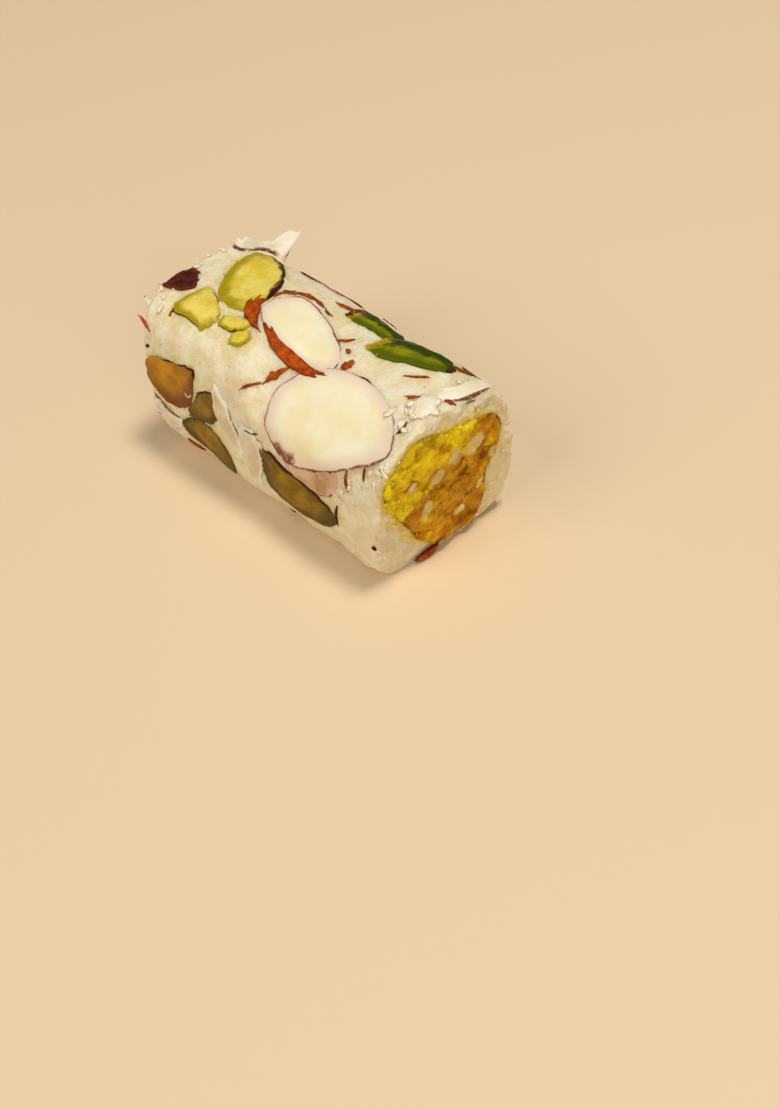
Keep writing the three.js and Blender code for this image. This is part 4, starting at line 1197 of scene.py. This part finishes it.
PURPLE = linear(58, 18, 22)
YELLOW_FLESH = pistachio_material(
    "pistachio_flesh", linear(240, 222, 118), linear(224, 200, 62), linear(172, 150, 4), PURPLE,
    (0.6, 1.0, 0.2),
)
AMBER_FLESH = pistachio_material(
    "pistachio_amber", linear(202, 144, 4), linear(172, 112, 0), linear(124, 66, 2), PURPLE, (0.1, 1.3, 0.75)
)
OLIVE_FLESH = pistachio_material(
    "pistachio_olive", linear(160, 122, 8), linear(122, 92, 0), linear(84, 66, 0), PURPLE, (0.4, 0.95, 0.3)
)
GREEN_FLESH = pistachio_material(
    "pistachio_green", linear(146, 148, 6), linear(112, 120, 2), linear(86, 98, 0), linear(70, 40, 6),
    (0.5, 1.0, 0.3), shadow=linear(50, 66, 0),
)
PISTACHIO_GROUPS = (
    (PISTACHIO_RIMS, "pistachio", lambda name: YELLOW_FLESH, lambda name, seed: kernel_height(0.25, seed)),
    (
        OLIVE_RIMS, "olive_pistachio", lambda name: AMBER_FLESH if name.endswith("long") else OLIVE_FLESH,
        lambda name, seed: kernel_height(0.25, seed),
    ),
    (
        SLIVER_RIMS, "green_pistachio", lambda name: GREEN_FLESH,
        lambda name, seed: sliver_height(0.8 if name.endswith("thick") else 0.6, seed),
    ),
)
for rims_of, slot, material_of, height_of in PISTACHIO_GROUPS:
    for index, (name, rims) in enumerate(rims_of.items()):
        points, faces, values = nut_surface(name, height_of(name, 120 + index), PISTACHIO_DEPTH, 0.2, rims)
        make_piece(name + "_flesh", points, faces, values, material_of(name), [name])


# ------------------------------------------------------------------ crumbs and flakes
# Crumbs of dried cashew paste and splinters of almond that cling to the skin and the cuts.
# Most lie along the upper edge of the near cut, where the knife has torn the dough.

# Where crumbs gather: x, angle, spread along, spread round in mm, how many, size
CRUMB_PATCHES = (
    (24.4, 97, 1.6, 6.0, 22, 1.0), (25.3, 72, 0.9, 5.0, 16, 1.1), (21.0, 165, 3.2, 3.4, 16, 0.7),
    (1.2, 176, 0.6, 0.6, 4, 1.1), (-14.5, 171.8, 0.4, 0.4, 3, 1.4), (24.8, 146, 0.9, 2.2, 8, 0.8),
    (-24.8, 100, 0.7, 8.0, 9, 0.7), (-23.5, 125, 1.2, 3.0, 8, 0.8), (0.0, 90, 24.0, 18.0, 50, 0.3),
    (0.0, 190, 24.0, 9.0, 26, 0.32), (0.0, 0, 24.0, 10.0, 30, 0.3),
)
# How many lie spread over the ring of dough on the near cut
RING_CRUMBS = 60
# Crumbs of the core that the knife has dragged up: how many on the near cut and on the far one
CORE_CRUMBS = (90, 50)
CRUMB_RINGS = 3
CRUMB_COLUMNS = 6


def crumb_lumps(middles, normals, sizes, stretch, flatness, seed):
    """Lumps of a few rings and two poles: a sphere whose corners are moved at random, stretched one
    way, flattened along the surface's normal, turned at random, and sunk by a third."""
    rng = np.random.default_rng(seed)
    count = len(middles)
    up = math.pi * (np.arange(CRUMB_RINGS) + 1) / (CRUMB_RINGS + 1)
    round_it = circle(CRUMB_COLUMNS)
    flat = [np.outer(np.sin(up), np.cos(round_it)), np.outer(np.sin(up), np.sin(round_it))]
    ball = np.stack([*flat, np.outer(np.cos(up), np.ones(CRUMB_COLUMNS))], -1).reshape(-1, 3)
    ball = np.concatenate([ball, [[0, 0, 1], [0, 0, -1]]])
    corners = ball[None] * rng.uniform(0.4, 1.35, (count, len(ball), 1))
    first = np.cross(normals, rng.normal(0, 1, (count, 3)))
    first = first / np.linalg.norm(first, axis=1, keepdims=True)
    second = np.cross(normals, first)
    half = sizes[:, None] / 2
    longer = rng.uniform(1, stretch, (count, 1))
    points = corners[..., :1] * (half * longer)[:, None] * first[:, None]
    points = points + corners[..., 1:2] * half[:, None] * second[:, None]
    points = points + (corners[..., 2:] * flatness + 0.3 * flatness) * half[:, None] * normals[:, None]
    points = points + middles[:, None]
    faces = ring_faces(CRUMB_RINGS, CRUMB_COLUMNS, looped=False, poles=True)
    faces = faces[None] + (np.arange(count) * len(ball))[:, None, None]
    return points.reshape(-1, 3), faces.reshape(-1, 4)


def skin_crumbs(seed=301):
    """Places, normals and sizes of the crumbs: normally spread about each patch's middle on the
    skin, and evenly over the ring of the near cut."""
    rng = np.random.default_rng(seed)
    middles, normals, sizes = [], [], []
    for x, angle, along, around, count, size in CRUMB_PATCHES:
        at_x = np.clip(x + along * rng.normal(0, 0.6, count), FAR_CUT[0], NEAR_CUT[0] + 0.6)
        girth = girth_at(math.radians(angle)) + around * rng.normal(0, 0.6, count)
        at = angle_at(girth)
        middles.append(skin_point(at_x, at, 0 * at_x))
        normals.append(form_normal(at_x, at))
        sizes.append(size * rng.uniform(0.45, 1.3, count))
    angle = rng.uniform(0, TURN, RING_CRUMBS)
    rim, edge = bore_rim(NEAR_CUT, angle), skin_point(skin_end(NEAR_CUT, angle), angle)
    share = rng.uniform(0.15, 0.9, (RING_CRUMBS, 1))
    place = rim + (edge - rim) * share
    place[:, 0] = cut_at(NEAR_CUT, place[:, 1], place[:, 2])
    middles.append(place)
    normals.append(np.tile(np.array([1, -NEAR_CUT[1], -NEAR_CUT[2]]), (RING_CRUMBS, 1)))
    sizes.append(rng.uniform(0.15, 0.5, RING_CRUMBS))
    middles, normals, sizes = np.concatenate(middles), np.concatenate(normals), np.concatenate(sizes)
    clear = middles[:, 2] > TABLE + 1.5
    return middles[clear], normals[clear], sizes[clear]


def crumb_material():
    """Dry cream crumb, a little paler than the dough, with a fine grain. No light passes through
    it, because in so small a thing that takes the red away."""
    material, tree = new_material("dry_crumb")
    color, grain = flesh(tree, linear(255, 248, 228), linear(246, 230, 196), 0.9, 0.2)
    surface_of(tree, color, grain, 0.1, 0.8, Specular_IOR_Level=0.2)
    return material


points, faces = crumb_lumps(*skin_crumbs(), 2.3, 0.36, 302)
points[:, 2] = np.maximum(points[:, 2], TABLE)
make_piece("dry_crumbs", points, faces, {}, crumb_material(), ["cashew_paste"])


def core_crumbs(cap, cashew, lemon, cut, count, seed):
    """Places on a cap of the core away from its cashew bits, their directions, sizes and how
    yellow they are."""
    rng = np.random.default_rng(seed)
    ring = (len(cap) * 0.97 * np.sqrt(rng.uniform(0, 1, 3 * count))).astype(int)
    column = rng.integers(0, cap.shape[1], 3 * count)
    clear = np.flatnonzero(cashew[ring, column] < 0.1)[:count]
    middles = cap[ring[clear], column[clear]]
    outwards = np.array([1, -cut[1], -cut[2]]) * np.sign(cut[0])
    sizes = rng.uniform(0.3, 1.0, len(middles)) ** 1.6
    return middles, np.tile(outwards, (len(middles), 1)), sizes, lemon[ring[clear], column[clear]]


near_places = core_crumbs(near_cap, near_cashew, near_lemon, NEAR_CUT, CORE_CRUMBS[0], 311)
far_places = core_crumbs(far_cap, far_cashew, far_lemon, FAR_CUT, CORE_CRUMBS[1], 312)
*places, yellow = [np.concatenate(part) for part in zip(near_places, far_places)]
points, faces = crumb_lumps(*places, 1.8, 0.5, 313)
crumb_lemon = np.repeat(yellow, len(points) // len(yellow))
make_piece(
    "golden_crumbs", points, faces, {"pit": 0.0, "cashew": 0.0, "lemon": crumb_lemon},
    CORE_MATERIAL, ["golden_core"],
)


# ------------------------------------------------------------------ ground, light and camera
# A plain pale ground, a warm key light high over the roll's plain side, two wide weak ones from
# the viewer's side and towards the near cut, and the photograph's view of the roll.

def plain_material(name, color, roughness):
    """One plain colour."""
    material, tree = new_material(name)
    shader = shader_node(tree, "BsdfPrincipled", {"Base Color": color, "Roughness": roughness})
    tree.links.new(shader.outputs[0], shader_node(tree, "OutputMaterial").inputs["Surface"])
    return material


GROUND_HALF = 1.5
ground_mesh = bpy.data.meshes.new("ground")
corners = [(-1, -1), (1, -1), (1, 1), (-1, 1)]
ground_mesh.from_pydata([(GROUND_HALF * x, GROUND_HALF * y, 0) for x, y in corners], [], [(0, 1, 2, 3)])
ground_mesh.materials.append(plain_material("ground", linear(236, 214, 184), 0.6))
new_object("ground", ground_mesh)


def out_from_roll(azimuth, elevation):
    """Unit vector away from the roll: azimuth from the viewer's side (-Y) towards the near cut
    (+X), and elevation, both in radians."""
    level = math.cos(elevation)
    return Vector((math.sin(azimuth) * level, -math.cos(azimuth) * level, math.sin(elevation)))


def area_light(name, azimuth, elevation, distance, size, watts, color):
    """A square light that faces the roll from that azimuth and elevation in degrees."""
    light = bpy.data.lights.new(name, "AREA")
    light.size = size
    light.energy = watts
    light.color = color
    place = out_from_roll(math.radians(azimuth), math.radians(elevation))
    lamp = new_object(name, light)
    lamp.location = place * distance
    lamp.rotation_euler = place.to_track_quat("Z", "Y").to_euler()


area_light("key", 130, 74, 1.5, 0.32, 12.5, (1.0, 0.93, 0.8))
area_light("fill", -2, 40, 1.5, 0.9, 7.4, (1.0, 0.92, 0.78))
area_light("low_fill", 70, 30, 1.5, 0.9, 4.3, (1.0, 0.92, 0.78))

world = bpy.data.worlds.new("soft_room")
world.use_nodes = True
world.node_tree.nodes["Background"].inputs["Color"].default_value = (1.0, 0.95, 0.84, 1.0)
world.node_tree.nodes["Background"].inputs["Strength"].default_value = 0.17
bpy.context.scene.world = world
bpy.context.scene.view_settings.view_transform = "Standard"

# Fitted to the roll's outline in the photograph of 780 x 1108 pixels
PHOTO_HEIGHT = 1108
FOCAL_PIXELS = 1400.0
CAMERA_AZIMUTH = math.radians(54.368)
CAMERA_ELEVATION = math.radians(43.893)
CAMERA_ROLL = math.radians(-8.459)
CAMERA_PLACE = np.array([131.135, -86.277, 119.954])

back = out_from_roll(CAMERA_AZIMUTH, CAMERA_ELEVATION)
level_right = Vector((math.cos(CAMERA_AZIMUTH), math.sin(CAMERA_AZIMUTH), 0))
level_up = back.cross(level_right)
right = level_right * math.cos(CAMERA_ROLL) + level_up * math.sin(CAMERA_ROLL)
up = back.cross(right)
lens = bpy.data.cameras.new("photo_view")
lens.sensor_width = 36.0
lens.lens = FOCAL_PIXELS / PHOTO_HEIGHT * lens.sensor_width
lens.clip_start = 0.01
camera = new_object("photo_view", lens)
turned = Matrix((right, up, back)).transposed().to_4x4()
camera.matrix_world = Matrix.Translation(Vector(((CAMERA_PLACE + AXIS_PLACE) * MM).tolist())) @ turned
bpy.context.scene.camera = camera
